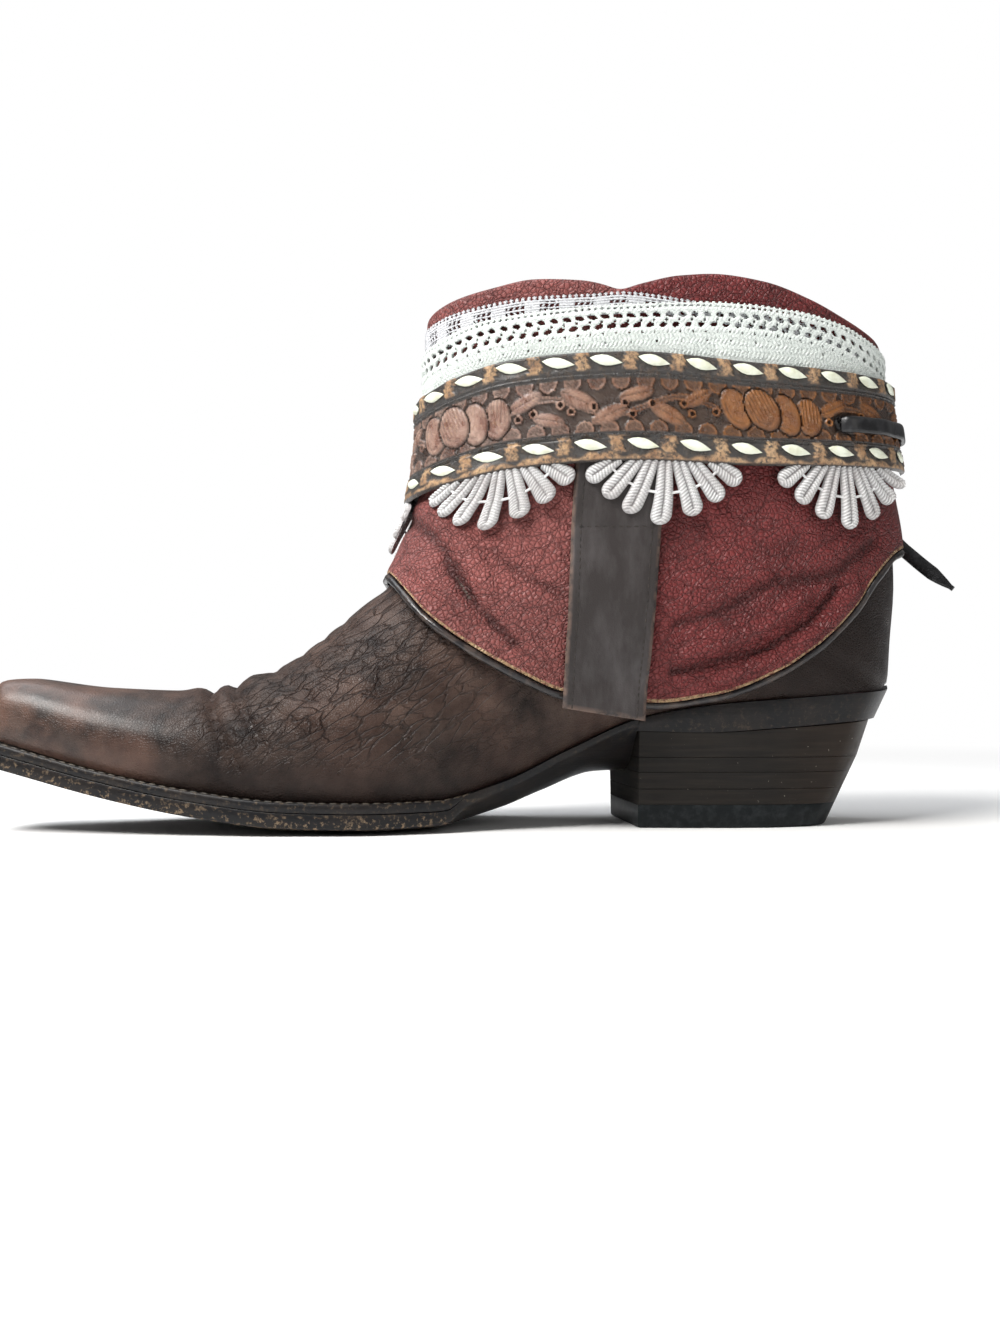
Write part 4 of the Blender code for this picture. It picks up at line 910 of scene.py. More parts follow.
def shaft_x(turn, z):
    """Place along the boot of a turn round the shaft, 0 in front and 1 or -1 at the back: a cosine
    from the front profile to the back one."""
    front = np.interp(np.maximum(z, HEM[0][1]), FRONT_Z, FRONT_X)
    back = np.interp(z, BACK_Z, BACK_X)
    return front + (back - front) * (1 - np.cos(math.pi * np.abs(turn))) / 2


def height_round(turn, pairs):
    """Height of a curve drawn along the boot, at each turn round the shaft."""
    z = along(pairs, shaft_x(turn, pairs[0][1]))
    for _ in range(SETTLING_STEPS):
        z = along(pairs, shaft_x(turn, z))
    return z


def on_upper(x, z):
    """The slice and the turn, without its side, of the upper's point seen at x and z from the side.
    The slice is the one whose straight line from ridge to base passes through the point, found by
    halving; the turn undoes the superellipse's share of the way down."""
    low, high = np.zeros(x.shape), np.full(x.shape, float(LAST_ROW))
    for _ in range(HALVINGS):
        row = (low + high) / 2
        ridge_x, ridge_z = last("ridge_x", row), last("ridge_z", row)
        run_x, run_z = last("base_x", row) - ridge_x, last("base_z", row) - ridge_z
        above = run_x * (z - ridge_z) > run_z * (x - ridge_x)
        low, high = np.where(above, row, low), np.where(above, high, row)
    ridge_x, ridge_z = last("ridge_x", row), last("ridge_z", row)
    run_x, run_z = last("base_x", row) - ridge_x, last("base_z", row) - ridge_z
    down = held(((x - ridge_x) * run_x + (z - ridge_z) * run_z) / (run_x ** 2 + run_z ** 2))
    belly = last("belly", row)
    front = np.arccos(held(1 - down / belly) ** (last("front_power", row) / 2))
    base = np.arcsin(held((down - belly) / (1 - belly)) ** (last("base_power", row) / 2))
    return row, np.where(down > belly, 0.5 + base / math.pi, front / math.pi)


def off_shaft(turn, z, stand_off, folds=()):
    """Points of the standing shaft at a turn and a height, at a distance outside the upper, with
    the outward directions there."""
    turn, z, stand_off = np.broadcast_arrays(turn, z, stand_off)
    row, around = on_upper(shaft_x(turn, z), z)
    around = np.where(np.abs(turn) == 1, 1.0, around)
    slice_turn = np.where(turn < 0, INNER, OUTER) * around
    normals = upper_normals(row, slice_turn)
    points = upper_points(row, slice_turn)
    stand_off = stand_off + fold_height(points, folds)
    return points + normals * stand_off[..., None], normals


cuff_leather = look = Look("burgundy cuff leather", 0.5, 0.3)
pebbles = look.grain(1.5, 0.45)
wrinkles = look.creases(30, 1.8, 5.0, 0.06)
# Painted light and shade: the front panel is painted lighter, as if lit, and the panel behind the side seam
# darker, as if in shade.
shaded_back_panel = look.ramp(look.axis("X"), frame_x(SIDE_SEAM - 0.6), frame_x(SIDE_SEAM + 0.6))
patchy = look.ramp(look.noise(17.0, 5.0), 0.35, 0.68)
red = look.mix(shaded_back_panel, RED_LIT_FRONT, RED_SHADED_BACK)
deep_red = look.mix(shaded_back_panel, (0.12, 0.035, 0.032, 1), (0.085, 0.014, 0.014, 1))
red = look.mix(look.times(patchy, 0.7), red, deep_red)
# Painted shade: the grain's furrows, the fine wrinkles and the troughs of the folds are darkened towards a
# deep red.
painted_furrow_shade = look.maths("MAXIMUM", look.times(wrinkles, 0.55), look.times(pebbles["Furrow"], 0.55))
red = look.mix(painted_furrow_shade, red, RED_PAINTED_SHADE)
red = look.mix(look.ramp(look.mask("fold"), -0.1, -1.2, 0.0, 0.7), red, RED_PAINTED_SHADE)
hem_line = look.times(look.ramp(look.mask("above_hem"), 1.15, 0.8),
                      look.ramp(look.noise(1.5, 3.0), 0.3, 0.55))
red = look.mix(hem_line, red, HEM_TAN)
red = look.mix(look.mask("inside"), red, BROWN)
look.feed("Base Color", red)
look.feed("Roughness", look.ramp(look.noise(7.0, 4.0), 0.3, 0.7, 0.42, 0.58))
relief = look.maths("SUBTRACT", pebbles["Height"], look.times(wrinkles, 0.8))
look.bump(relief, 0.45)

turn = np.linspace(-1, 1, CUFF_COLUMNS + 1)[:-1]
hem = height_round(turn, HEM)
collar_x = shaft_x(turn, height_round(turn, COLLAR))
collar = height_round(turn, COLLAR) - NOTCH_DEPTH * bell(collar_x - SIDE_SEAM, NOTCH_WIDTH)
share = np.linspace(0, 1, CUFF_WALL_ROWS)[:, None]
wall_z = hem + share * (collar - COLLAR_ROLL - hem)
face, _ = off_shaft(turn, wall_z, CUFF_FACE + CUFF_FLARE * (1 - share) ** 2, CUFF_FOLDS)
angle = np.linspace(0, math.pi, ROLL_STEPS)[1:-1, None]
roll, _ = off_shaft(turn, collar - COLLAR_ROLL + COLLAR_ROLL * np.sin(angle),
                    ROLL_MIDDLE + ROLL_HALF * np.cos(angle))
lining, _ = off_shaft(turn, collar - LINING_DOWN[:, None], LINING_IN[:, None])
back_share = np.linspace(1, 0, CUFF_BACK_ROWS)[:, None]
back_z = hem + back_share * (collar - COLLAR_ROLL - hem)
back, _ = off_shaft(turn, back_z, CUFF_INSIDE + CUFF_FLARE * (1 - back_share) ** 2)
rings = np.concatenate([face, roll, lining, back])
off_the_face = (len(rings) - CUFF_WALL_ROWS, CUFF_COLUMNS)
above_hem = np.concatenate([wall_z - hem, np.full(off_the_face, FAR_FROM_HEM)])
fold = np.concatenate([fold_height(face, CUFF_FOLDS), np.zeros(off_the_face)])
inside = np.zeros(rings.shape[:2])
inside[-CUFF_BACK_ROWS:] = 1
add_piece("boot_cuff", rings, loft_quads(*rings.shape[:2], ends_meet=True), cuff_leather,
          ["cuff"], {"above_hem": above_hem, "inside": inside, "fold": fold})

# The binding is a narrow bead of dark leather, folded over the cuff's hem and sewn down. It has
# gone shiny with wear.
BINDING_RADIUS, BINDING_STAND_OFF, BINDING_DROP, TUBE_AROUND = 1.15, 1.7, 1.6, 12
BINDING_WAVE, BINDING_WAVES, BINDING_SWELL, BINDING_SWELLS = 0.35, 61, 0.08, 97
bead_leather = look = Look("dark bead leather", 0.28)
rubbed = look.ramp(look.noise(5.0, 5.0, 0.65), 0.45, 0.72)
look.feed("Base Color", look.mix(rubbed, (0.014, 0.012, 0.013, 1), (0.075, 0.055, 0.045, 1)))
look.bump(look.noise(2.2, 3.0), 0.3)


def tube(path, side_one, side_two, radius, closed=False):
    """Rings round a path: a circle, or an oval, in the plane of two given directions."""
    angle = np.linspace(0, 2 * math.pi, TUBE_AROUND, endpoint=False)
    rings = (path[:, None] + side_one[:, None] * np.cos(angle)[None, :, None] * np.reshape(radius, (-1, 1, 1))
             + side_two[:, None] * np.sin(angle)[None, :, None] * np.reshape(radius, (-1, 1, 1)))
    return rings, loft_quads(len(path), len(angle), ends_meet=closed)


line, outward = off_shaft(turn, hem, BINDING_STAND_OFF + CUFF_FLARE)
run = unit(np.roll(line, -1, axis=0) - np.roll(line, 1, axis=0))
down = unit(np.cross(run, outward))
down *= np.where(down[:, 2:] > 0, -1, 1)
wavy = BINDING_WAVE * np.sin(turn * BINDING_WAVES) * held(np.abs(turn) * 3 - 1.6)
line = line + down * BINDING_DROP + outward * wavy[:, None]
radius = BINDING_RADIUS * (1 + BINDING_SWELL * np.sin(turn * BINDING_SWELLS))
points, quads = tube(line, outward, down, radius, closed=True)
add_piece("boot_cuff_binding", points, quads, bead_leather, ["cuff_binding"])

# The pull straps are the boot's own, cut from the brown leather with both edges folded under and
# sewn. With the shaft turned down they hang upside down over its side seams.
STRAP_INSIDE, STRAP_FACE = 3.0, 4.5
STRAP_TOP, STRAP_TOP_MIDDLE = 124.0, 205.4
STRAP_FOOT, STRAP_FOOT_MIDDLE = 37.4, 198.8
STRAP_WIDTH, STRAP_FOOT_SLOPE, STRAP_HANGS_FROM = 28.0, -0.15, 48.0
STRAP_FLARE_FROM, STRAP_FLARE = 118.0, 0.025
STRAP_SEAM_IN, STRAP_CROSS_SEAM = 3.0, 97.0
STRAP_SEAM_TOP, STRAP_SEAM_FEET, STRAP_CROSS_HALF = 115.0, (40.0, 37.0), 0.39
STRAP_ACROSS, STRAP_ROWS, SEAM_POINTS, CROSS_SEAM_POINTS, STRAP_RUBBED = 41, 100, 120, 60, 1.4
STRAP_ROUND, STRAP_CROWN, SEAM_DIP, SEAM_DIP_WIDTH = 1.2, 0.25, 0.22, 0.7
STRAP_THREAD_PITCH, STRAP_THREAD_LENGTH, STRAP_THREAD_RADIUS, STRAP_THREAD_OUT = 2.1, 1.5, 0.22, 0.12


def slab(face, back):
    """Joins two grids of points that share their border into one closed body."""
    rows, across = face.shape[:2]
    one = np.arange(rows * across).reshape(rows, across)
    two = one + rows * across
    border = np.ones((rows, across), bool)
    border[1:-1, 1:-1] = False
    two = np.where(border, one, two).ravel()
    quads = grid_quads(rows, across)
    quads = np.concatenate([quads, two[quads][:, ::-1]])
    used, quads = np.unique(quads, return_inverse=True)
    points = np.concatenate([face.reshape(-1, 3), back.reshape(-1, 3)])[used]
    return points, quads.reshape(-1, 4), used


def rounded(from_edge, radius):
    """Share of the full thickness at a distance from an edge rounded to a radius: a quarter circle."""
    return np.sqrt(1 - (1 - held(from_edge / radius)) ** 2)


strap_leather = look = Look("grey brown strap leather", 0.44, 0.25)
scraped = look.ramp(look.noise(7.0, 6.0, 0.62, look.stretched((1.0, 1.0, 0.35))), 0.42, 0.7)
strap_colour = look.mix(scraped, (0.032, 0.027, 0.026, 1), (0.062, 0.055, 0.055, 1))
edge_rub = look.times(look.mask("edge"), look.ramp(look.noise(3.0, 4.0), 0.35, 0.6))
look.feed("Base Color", look.mix(look.times(edge_rub, 0.7), strap_colour, (0.20, 0.13, 0.10, 1)))
look.bump(look.maths("ADD", look.times(look.grain(0.7)["Height"], 0.4), scraped), 0.1)
strap_thread = look = Look("brown strap thread", 0.7)
thread = look.ramp(look.noise(2.0, 2.0), 0.35, 0.65)
look.feed("Base Color", look.mix(thread, (0.012, 0.009, 0.008, 1), (0.032, 0.024, 0.019, 1)))


def strap_place(across, z, side, stand_off):
    """Points on a strap: over the shaft, standing off a little more the lower it hangs, and straight
    down below the shaft's turn under."""
    share = (STRAP_TOP - z) / (STRAP_TOP - STRAP_FOOT)
    x = STRAP_TOP_MIDDLE + (STRAP_FOOT_MIDDLE - STRAP_TOP_MIDDLE) * share + STRAP_WIDTH * across
    row, around = on_upper(x, np.maximum(z, STRAP_HANGS_FROM))
    normals = upper_normals(row, side * around)
    flare = STRAP_FLARE * np.clip(STRAP_FLARE_FROM - z, 0, None)
    points = upper_points(row, side * around) + normals * (stand_off + flare)[..., None]
    points[..., 2] = z
    return points, normals


across = np.linspace(-0.5, 0.5, STRAP_ACROSS)[None, :]
down = np.linspace(0, 1, STRAP_ROWS)[:, None]
foot = STRAP_FOOT + STRAP_FOOT_SLOPE * STRAP_WIDTH * across
z = STRAP_TOP + (foot - STRAP_TOP) * down
from_side = (0.5 - np.abs(across)) * STRAP_WIDTH
from_end = np.minimum(down, 1 - down) * (STRAP_TOP - foot)
thick = np.minimum(rounded(from_side, STRAP_ROUND), rounded(from_end, STRAP_ROUND))
thick = thick * (STRAP_FACE - STRAP_INSIDE) / 2
seam_dip = SEAM_DIP * sum(bell(away, SEAM_DIP_WIDTH)
                          for away in (from_side - STRAP_SEAM_IN, z - STRAP_CROSS_SEAM))
crown = STRAP_CROWN * rounded(from_side, STRAP_SEAM_IN)
seam_in = 0.5 - STRAP_SEAM_IN / STRAP_WIDTH
seams = ((-seam_in, np.linspace(STRAP_SEAM_TOP, STRAP_SEAM_FEET[0], SEAM_POINTS)),
         (seam_in, np.linspace(STRAP_SEAM_TOP, STRAP_SEAM_FEET[1], SEAM_POINTS)),
         (np.linspace(-STRAP_CROSS_HALF, STRAP_CROSS_HALF, CROSS_SEAM_POINTS),
          np.full(CROSS_SEAM_POINTS, STRAP_CROSS_SEAM)))
middle = (STRAP_INSIDE + STRAP_FACE) / 2
for side, name in ((INNER, "inner"), (OUTER, "outer")):
    face, normals = strap_place(across + 0 * z, z, side, middle + thick + (crown - seam_dip) * (thick > 0))
    back, _ = strap_place(across + 0 * z, z, side, middle - thick)
    points, quads, used = slab(face, back)
    edge = np.tile(held(STRAP_RUBBED - np.minimum(from_side, from_end)).ravel(), 2)[used]
    add_piece(f"boot_pull_strap_{name}", points, quads, strap_leather,
              [f"pull_strap_{name}"], {"edge": edge})
    rows = []
    for seam_across, seam_z in seams:
        seam, seam_out = strap_place(np.broadcast_to(seam_across, seam_z.shape), seam_z, side,
                                     np.full(seam_z.shape, STRAP_FACE + STRAP_THREAD_OUT))
        rows.append(stitch_row(seam, seam_out, STRAP_THREAD_PITCH, STRAP_THREAD_LENGTH, STRAP_THREAD_RADIUS))
    points, quads = join(rows)
    add_piece(f"pull_strap_stitches_{name}", points, quads, strap_thread)

# The ladder lace is a narrow cotton lace in grey white, sewn flat round the collar: a looped top
# edge, then blocks of close weave with open rungs between them.
LADDER_STAND_OFF, LADDER_THICKNESS = 3.1, 0.55
LADDER_HIGH = ((146, 165.5), (154, 168.0), (164, 169.6), (179, 171.2), (195, 171.6), (206, 172.4),
               (217, 171.4), (228, 169.8), (262, 165), (299, 154))
EYELET_HIGH = ((148, 158.5), (163, 164), (179, 166), (209, 168.3), (236, 169.4), (261, 168),
               (276, 165.5), (288, 161.5), (299, 157))
LADDER_TUCK, LADDER_LEAST = 3.0, 6.0
LADDER_STEP, LADDER_ROWS = 0.33, 36
LADDER_PITCH, LADDER_BLOCK, LADDER_OPEN = 11.2, 5.0, (1.9, 8.4)
LOOP_PITCH, LOOP_DEPTH, LOOP_HALF_WIDTH, LOOP_HALF_HEIGHT, LOOP_SCALLOP = 1.9, 0.9, 0.55, 0.45, 0.45
RUNG_HALF, RAIL_PITCH, RAIL_HALF, RIDGE_PITCH = 0.3, 1.6, 0.22, 0.84
LINES_UP, LINE_POINTS = 8, 1600


def even_turns(high, stand_off, step, end=1.0):
    """Turns round the shaft spaced evenly by a step along a line at given heights, with the length
    along it from the front, counted positive on the inner side."""
    fine = np.linspace(-end, end, LINE_POINTS)
    path, _ = off_shaft(fine, height_round(fine, high), stand_off)
    length = lengths(path)
    count = int(length[-1] / step) + 1
    marks = np.linspace(0, length[-1], count)
    front = np.interp(0.0, fine, length)
    return np.interp(marks, length, fine), front - marks


def band_points(turn, low, high, rows, stand_off):
    """A grid of points on the shaft between two heights, worked out on a few lines and filled in
    straight between them, with the outward directions."""
    lines = np.linspace(0, 1, LINES_UP + 1)
    at = np.linspace(0, LINES_UP, rows)
    points, normals = off_shaft(turn, low + lines[:, None] * (high - low), stand_off)
    i = np.clip(at.astype(int), 0, LINES_UP - 1)
    part = (at - i)[:, None, None]
    return points[i] * (1 - part) + points[i + 1] * part, normals[i] * (1 - part) + normals[i + 1] * part


def open_work(name, points, keep, thickness, look, nodes, masks):
    """A lace: the cells of a grid that hold thread, as a sheet with a wall. Where two cells touch
    only at a corner a third is filled in, so that no thread is held by a point."""
    a, b, c, d = keep[:-1, :-1], keep[:-1, 1:], keep[1:, :-1], keep[1:, 1:]
    b |= a & d & ~b & ~c
    a |= b & c & ~a & ~d
    quads = grid_quads(*points.shape[:2])[keep.ravel()]
    last_column = points.shape[1] - 1
    quads = np.where(quads % points.shape[1] == last_column, quads - last_column, quads)
    used, quads = np.unique(quads, return_inverse=True)
    lace = add_piece(name, points.reshape(-1, 3)[used], quads.reshape(-1, 4), look, nodes,
                     {label: np.ravel(values)[used] for label, values in masks.items()})
    wall = lace.modifiers.new("thread", "SOLIDIFY")
    wall.thickness = thickness * MM
    wall.offset = 0
    return lace


def lace_places(low, high, length, rows):
    """Depth of each point of a lace below its top, and the length and depth of each of its cells."""
    depth = (high - low)[None] * (1 - np.linspace(0, 1, rows))[:, None]
    s = (length[1:] + length[:-1])[None] / 2 + np.zeros((rows - 1, 1))
    return depth, s, (depth[1:, 1:] + depth[:-1, :-1]) / 2


def wave(places, pitch):
    """A wave along a line, from 1 down to -1 and back over each pitch."""
    return np.cos(2 * math.pi * places / pitch)


def lace_material(name, light, shade, soft):
    """Matt cotton: a thread-sized weave, darkened between the threads as painted shade, with soft dirt."""
    look = Look(name, 0.9, 0.2)
    fuzz = look.noise(0.7, 3.0, 0.7)
    dirt = look.ramp(look.noise(soft, 5.0), 0.35, 0.7)
    colour = look.mix(look.ramp(fuzz, 0.3, 0.7), shade, light)
    colour = look.mix(look.ramp(look.mask("thread"), 0.5, 0.1, 0.0, 0.45), colour, shade)
    look.feed("Base Color", look.mix(look.times(dirt, 0.3), colour, shade))
    look.bump(look.maths("ADD", fuzz, look.times(look.mask("thread"), 0.8)), 0.3)
    return look


grey_cotton = lace_material("grey white cotton", (0.80, 0.81, 0.82, 1), (0.44, 0.44, 0.47, 1), 9.0)
turn, length = even_turns(LADDER_HIGH, LADDER_STAND_OFF, LADDER_STEP)
high = height_round(turn, LADDER_HIGH)
low = np.minimum(height_round(turn, EYELET_HIGH) - LADDER_TUCK, high - LADDER_LEAST)
points, _ = band_points(turn, low, high, LADDER_ROWS, LADDER_STAND_OFF)
depth, s, d = lace_places(low, high, length, LADDER_ROWS)
in_loop = s % LOOP_PITCH - LOOP_PITCH / 2
loops = np.hypot(in_loop / LOOP_HALF_WIDTH, (d - LOOP_DEPTH) / LOOP_HALF_HEIGHT) < 1
scallop = d < LOOP_SCALLOP * np.abs(np.sin(math.pi * s / LOOP_PITCH))
in_block = np.abs(s % LADDER_PITCH - LADDER_PITCH / 2) < LADDER_BLOCK / 2
rungs = np.abs((s + 0.3 * np.sin(d * 2)) % LOOP_PITCH - LOOP_PITCH / 2) < RUNG_HALF
rails = np.abs(d % RAIL_PITCH - RAIL_PITCH / 2) < RAIL_HALF
middle_part = (d > LADDER_OPEN[0]) & (d < LADDER_OPEN[1])
keep = ~(loops | scallop | (middle_part & ~in_block & ~rungs & ~rails))
ladder = open_work("boot_ladder_lace", points, keep, LADDER_THICKNESS, grey_cotton,
                   ["ladder_lace"], {"thread": 0.5 + 0.5 * wave(depth, RIDGE_PITCH)})

# The eyelet lace is thicker white crochet lapped over the ladder lace's foot: a fine net edge, two
# rows of eyelets, and close stitches below that go under the belt.
EYELET_STAND_OFF, EYELET_THICKNESS = 4.15, 0.95
EYELET_STEP, EYELET_ROWS, EYELET_TUCK, EYELET_PITCH, PICOT_PITCH = 0.42, 50, 4.0, 4.1, 2.05
# Rows of holes from the top: depth, pitch, shift along, half width, half height and slant.
EYELET_HOLES = ((1.5, PICOT_PITCH, 0.0, 0.55, 0.45, 0), (4.1, EYELET_PITCH, 0.0, 1.4, 0.95, 0.25),
                (7.3, EYELET_PITCH, EYELET_PITCH / 2, 1.3, 1.0, -0.2),
                (5.7, EYELET_PITCH, 1.0, 0.45, 0.45, 0), (9.6, EYELET_PITCH, 0.6, 0.4, 0.4, 0),
                (12.4, 2 * EYELET_PITCH, 2.2, 0.4, 0.4, 0))
# Raised cords along the lace: depth and width.
EYELET_CORDS = ((2.5, 0.5), (5.75, 0.5), (9.0, 0.6))
CORD_HEIGHT, CROCHET_FROM, CROCHET_HEIGHT, CROCHET_PITCHES = 0.25, 8.6, 0.36, (1.37, 1.25)
BELT_HIGH = ((148, 142), (157, 146.5), (174, 150.6), (210, 152.4), (248, 149.8), (299, 148.5))
white_cotton = lace_material("white crochet cotton", (0.85, 0.89, 0.86, 1), (0.60, 0.65, 0.62, 1), 14.0)
turn, length = even_turns(EYELET_HIGH, EYELET_STAND_OFF, EYELET_STEP)
high = height_round(turn, EYELET_HIGH)
low = height_round(turn, BELT_HIGH) - EYELET_TUCK
points, normals = band_points(turn, low, high, EYELET_ROWS, EYELET_STAND_OFF)
depth, s, d = lace_places(low, high, length, EYELET_ROWS)


def holes(s, d, row, pitch, shift, half_width, half_height, slant):
    """A row of oval holes at a depth, a pitch apart, each a little out of place by its own number."""
    number = np.floor((s + shift) / pitch)
    jitter = np.sin(number * 12.9898) * 0.5
    across = (s + shift) - (number + 0.5) * pitch + 0.25 * jitter
    down = d - row - slant * across + 0.3 * jitter
    return np.hypot(across / (half_width * (1 + 0.25 * jitter)), down / half_height) < 1


picots = d < 0.5 * np.abs(np.sin(math.pi * s / PICOT_PITCH))
eyelets = np.any([holes(s, d, *row) for row in EYELET_HOLES], axis=0)
stitch_pitch, row_pitch = CROCHET_PITCHES
crochet = np.cos(2 * math.pi * length[None] / stitch_pitch + 2.2 * np.sin(depth * 1.7))
crochet = crochet * wave(depth, row_pitch)
cords = sum(bell(depth - at, width) for at, width in EYELET_CORDS)
relief = CROCHET_HEIGHT * held((depth - CROCHET_FROM) / 1.5) * crochet + CORD_HEIGHT * cords
eyelet = open_work("boot_eyelet_lace", points + normals * relief[..., None], ~(picots | eyelets),
                   EYELET_THICKNESS, white_cotton, ["eyelet_lace"],
                   {"thread": 0.5 + 0.5 * crochet})

# The belt is a length of an old tooled belt, of thick dyed leather wrapped over the laces. Its
# borders are laced with cream thong, and flowers and leaves are stamped between them.
BELT_LOW = ((144, 106), (153, 110), (172, 115), (210, 117.6), (248, 116.5), (303, 118))
BELT_BACK, BELT_FACE, BELT_END = 4.8, 7.6, 0.955
BELT_STEP, BELT_ROWS, BELT_BACK_ROWS = 0.45, 84, 6
BELT_WIDTH, BELT_ROUND = 35.0, 1.1
BAND_LOW, BAND_HIGH = 9.0, 26.8
LINE_WIDTH, LINE_APART, LINE_DEPTH, RIB_PITCH, RIB_HALF, RIB_HEIGHT = 0.32, 1.25, 0.55, 1.0, 0.6, 0.22
FLOWER_AT, FLOWER_REPEAT = 33.0, 105.0
STEM_ENDS, STEM_HALF, STEM_BEAD, STEM_CURVE, STEM_SWAY = (16.0, 90.0), 1.15, 1.15, 46.0, 3.0
VEIN_PITCH, SEED_RADIUS, SEED_HOLE = 1.25, 1.5, 0.7
# Heights of the tooling over the belt's face.
TOOLED = {"ground": -0.75, "disc": -0.35, "disc rim": -0.05, "stem": -0.18, "leaf": -0.45, "leaf dome": 0.6,
          "seed": 0.1, "seed hole": -1.0, "petal": -0.45, "petal dome": 0.52, "outline": -0.9}
# Petals and leaves as ovals: place along and up, turn in degrees, half length and half width. A
# petal has its veins' strength too, and a seed only its place.
PETALS = ((-12.0, 0.6, -62, 7.2, 4.8, 0.0), (13.4, -0.9, -80, 6.6, 5.0, 1.0), (5.4, -0.6, -72, 7.2, 4.8, 0.0),
          (-3.0, 0.8, -55, 7.6, 5.6, 1.0))
LEAVES = ((23, 2.6, 24, 6.4, 2.7), (31, -3.6, -14, 5.6, 2.3), (41, 2.2, -28, 6.8, 2.9),
          (51, -3.0, 22, 6.4, 2.7), (60, 3.4, 12, 6.0, 2.4), (70, -2.6, -26, 6.6, 2.8),
          (80, 3.0, 30, 5.6, 2.4))
SEEDS = ((21, -2.4), (26, -1.2), (35, 0.8), (38.5, -1.6), (46, -0.4), (56, 0.6), (58.5, -3.0), (65, 0.4),
         (75.5, 0.8), (78, -2.2), (86, -1.0))
HALF_DISC_PITCH, HALF_DISC_RADIUS, HALF_DISC_RIM, HALF_DISC_RAYS = 8.0, 3.1, 0.8, 13
# Rows of lacing: height up the belt, pitch, place of one stitch, slant and reach of its bars.
LACING = ({"up": 32.0, "pitch": 15.8, "at_x": 200.4, "tilt": -0.19, "reach": 3.2},
          {"up": 5.4, "pitch": 16.9, "at_x": 195.3, "tilt": -0.21, "reach": 3.0})
LACING_LENGTH = 10.4
BAR_HALF, BAR_HEIGHT, SOCKET_DEPTH, SOCKET_LONG, SOCKET_HIGH = 2.3, 0.32, 0.75, 0.62, 2.9
TIE_HEIGHT, TIE_HOLE_TURN = 131.0, 0.74
HOLE_DEPTH, HOLE_HALF_WIDTH, HOLE_HALF_HEIGHT, MM_PER_TURN = 1.5, 2.6, 3.2, 160.0


def wrapped(length, pitch):
    """Distance to the nearest of places a pitch apart, from minus half the pitch to half of it."""
    return (length + pitch / 2) % pitch - pitch / 2


def oval(along_belt, up, at, height, turn, half_length, half_width):
    """How far a place is inside a turned oval, 1 in its middle and 0 at its rim, with the place along
    and across the oval."""
    cosine, sine = math.cos(math.radians(turn)), math.sin(math.radians(turn))
    u = (along_belt - at) * cosine + (up - height) * sine
    v = (up - height) * cosine - (along_belt - at) * sine
    return 1 - np.hypot(u / half_length, v / half_width), u, v


def tooling(s, w):
    """Height of the stamped pattern over the belt's face in millimetres: a sunk, stippled ground, and
    over it half discs, a beaded stem, leaves with veins, seeds and a row of domed petals."""
    p = wrapped(s - FLOWER_AT, FLOWER_REPEAT)
    q = w - (BAND_LOW + BAND_HIGH) / 2
    onward = p % FLOWER_REPEAT
    stipple = 0.10 * np.sin(s * 7.1) * np.sin(w * 6.7) + 0.08 * np.sin(s * 3.3 + w * 4.1)
    height = TOOLED["ground"] + stipple
    border = (BAND_HIGH - BAND_LOW) / 2 - 1.0
    for edge, shift in ((border, 0.0), (-border, HALF_DISC_PITCH / 2)):
        across = wrapped(s + shift, HALF_DISC_PITCH)
        radius = np.hypot(across, q - edge)
        fan = np.arctan2(across, np.abs(q - edge) + 0.01)
        disc = np.where(radius < HALF_DISC_RADIUS - HALF_DISC_RIM,
                        TOOLED["disc"] + 0.14 * np.cos(fan * HALF_DISC_RAYS), TOOLED["disc rim"])
        height = np.where(radius < HALF_DISC_RADIUS, disc, height)
    stem = np.abs(q - STEM_SWAY * np.sin(2 * math.pi * (onward - STEM_ENDS[0] - 2) / STEM_CURVE))
    on_stem = (stem < STEM_HALF) & (onward > STEM_ENDS[0]) & (onward < STEM_ENDS[1])
    beaded = TOOLED["stem"] + 0.16 * wave(s, STEM_BEAD) * (stem > 0.25) - 0.25 * (stem < 0.25)
    height = np.where(on_stem, beaded, height)
    for at, up, turn, half_length, half_width in LEAVES:
        inside, u, v = oval(onward, q, at, up, turn, half_length, half_width)
        veins = 0.13 * wave(u - 0.8 * np.abs(v), VEIN_PITCH) - 0.3 * bell(v, 0.3)
        leaf = TOOLED["leaf"] + TOOLED["leaf dome"] * np.sqrt(held(2.2 * inside)) + veins * (inside > 0.12)
        height = np.where(inside > 0, leaf, height)
    for at, up in SEEDS:
        radius = np.hypot(onward - at, q - up)
        seed = np.where(radius < SEED_HOLE, TOOLED["seed hole"], TOOLED["seed"])
        height = np.where(radius < SEED_RADIUS, seed, height)
    for at, up, turn, half_length, half_width, veined in PETALS:
        inside, u, v = oval(p, q, at, up, turn, half_length, half_width)
        veins = (0.09 + 0.10 * veined) * wave(v + 0.15 * u, VEIN_PITCH) * (u < 0.35 * half_length)
        fold_line = 0.2 * bell(inside - 0.32, 0.07) * (v < 0)
        dome = TOOLED["petal"] + TOOLED["petal dome"] * np.sqrt(held(5 * inside)) + 0.12 * inside
        around_it = np.where(inside > -0.06, TOOLED["outline"], height)
        height = np.where(inside > 0, dome + veins - fold_line, around_it)
    return height


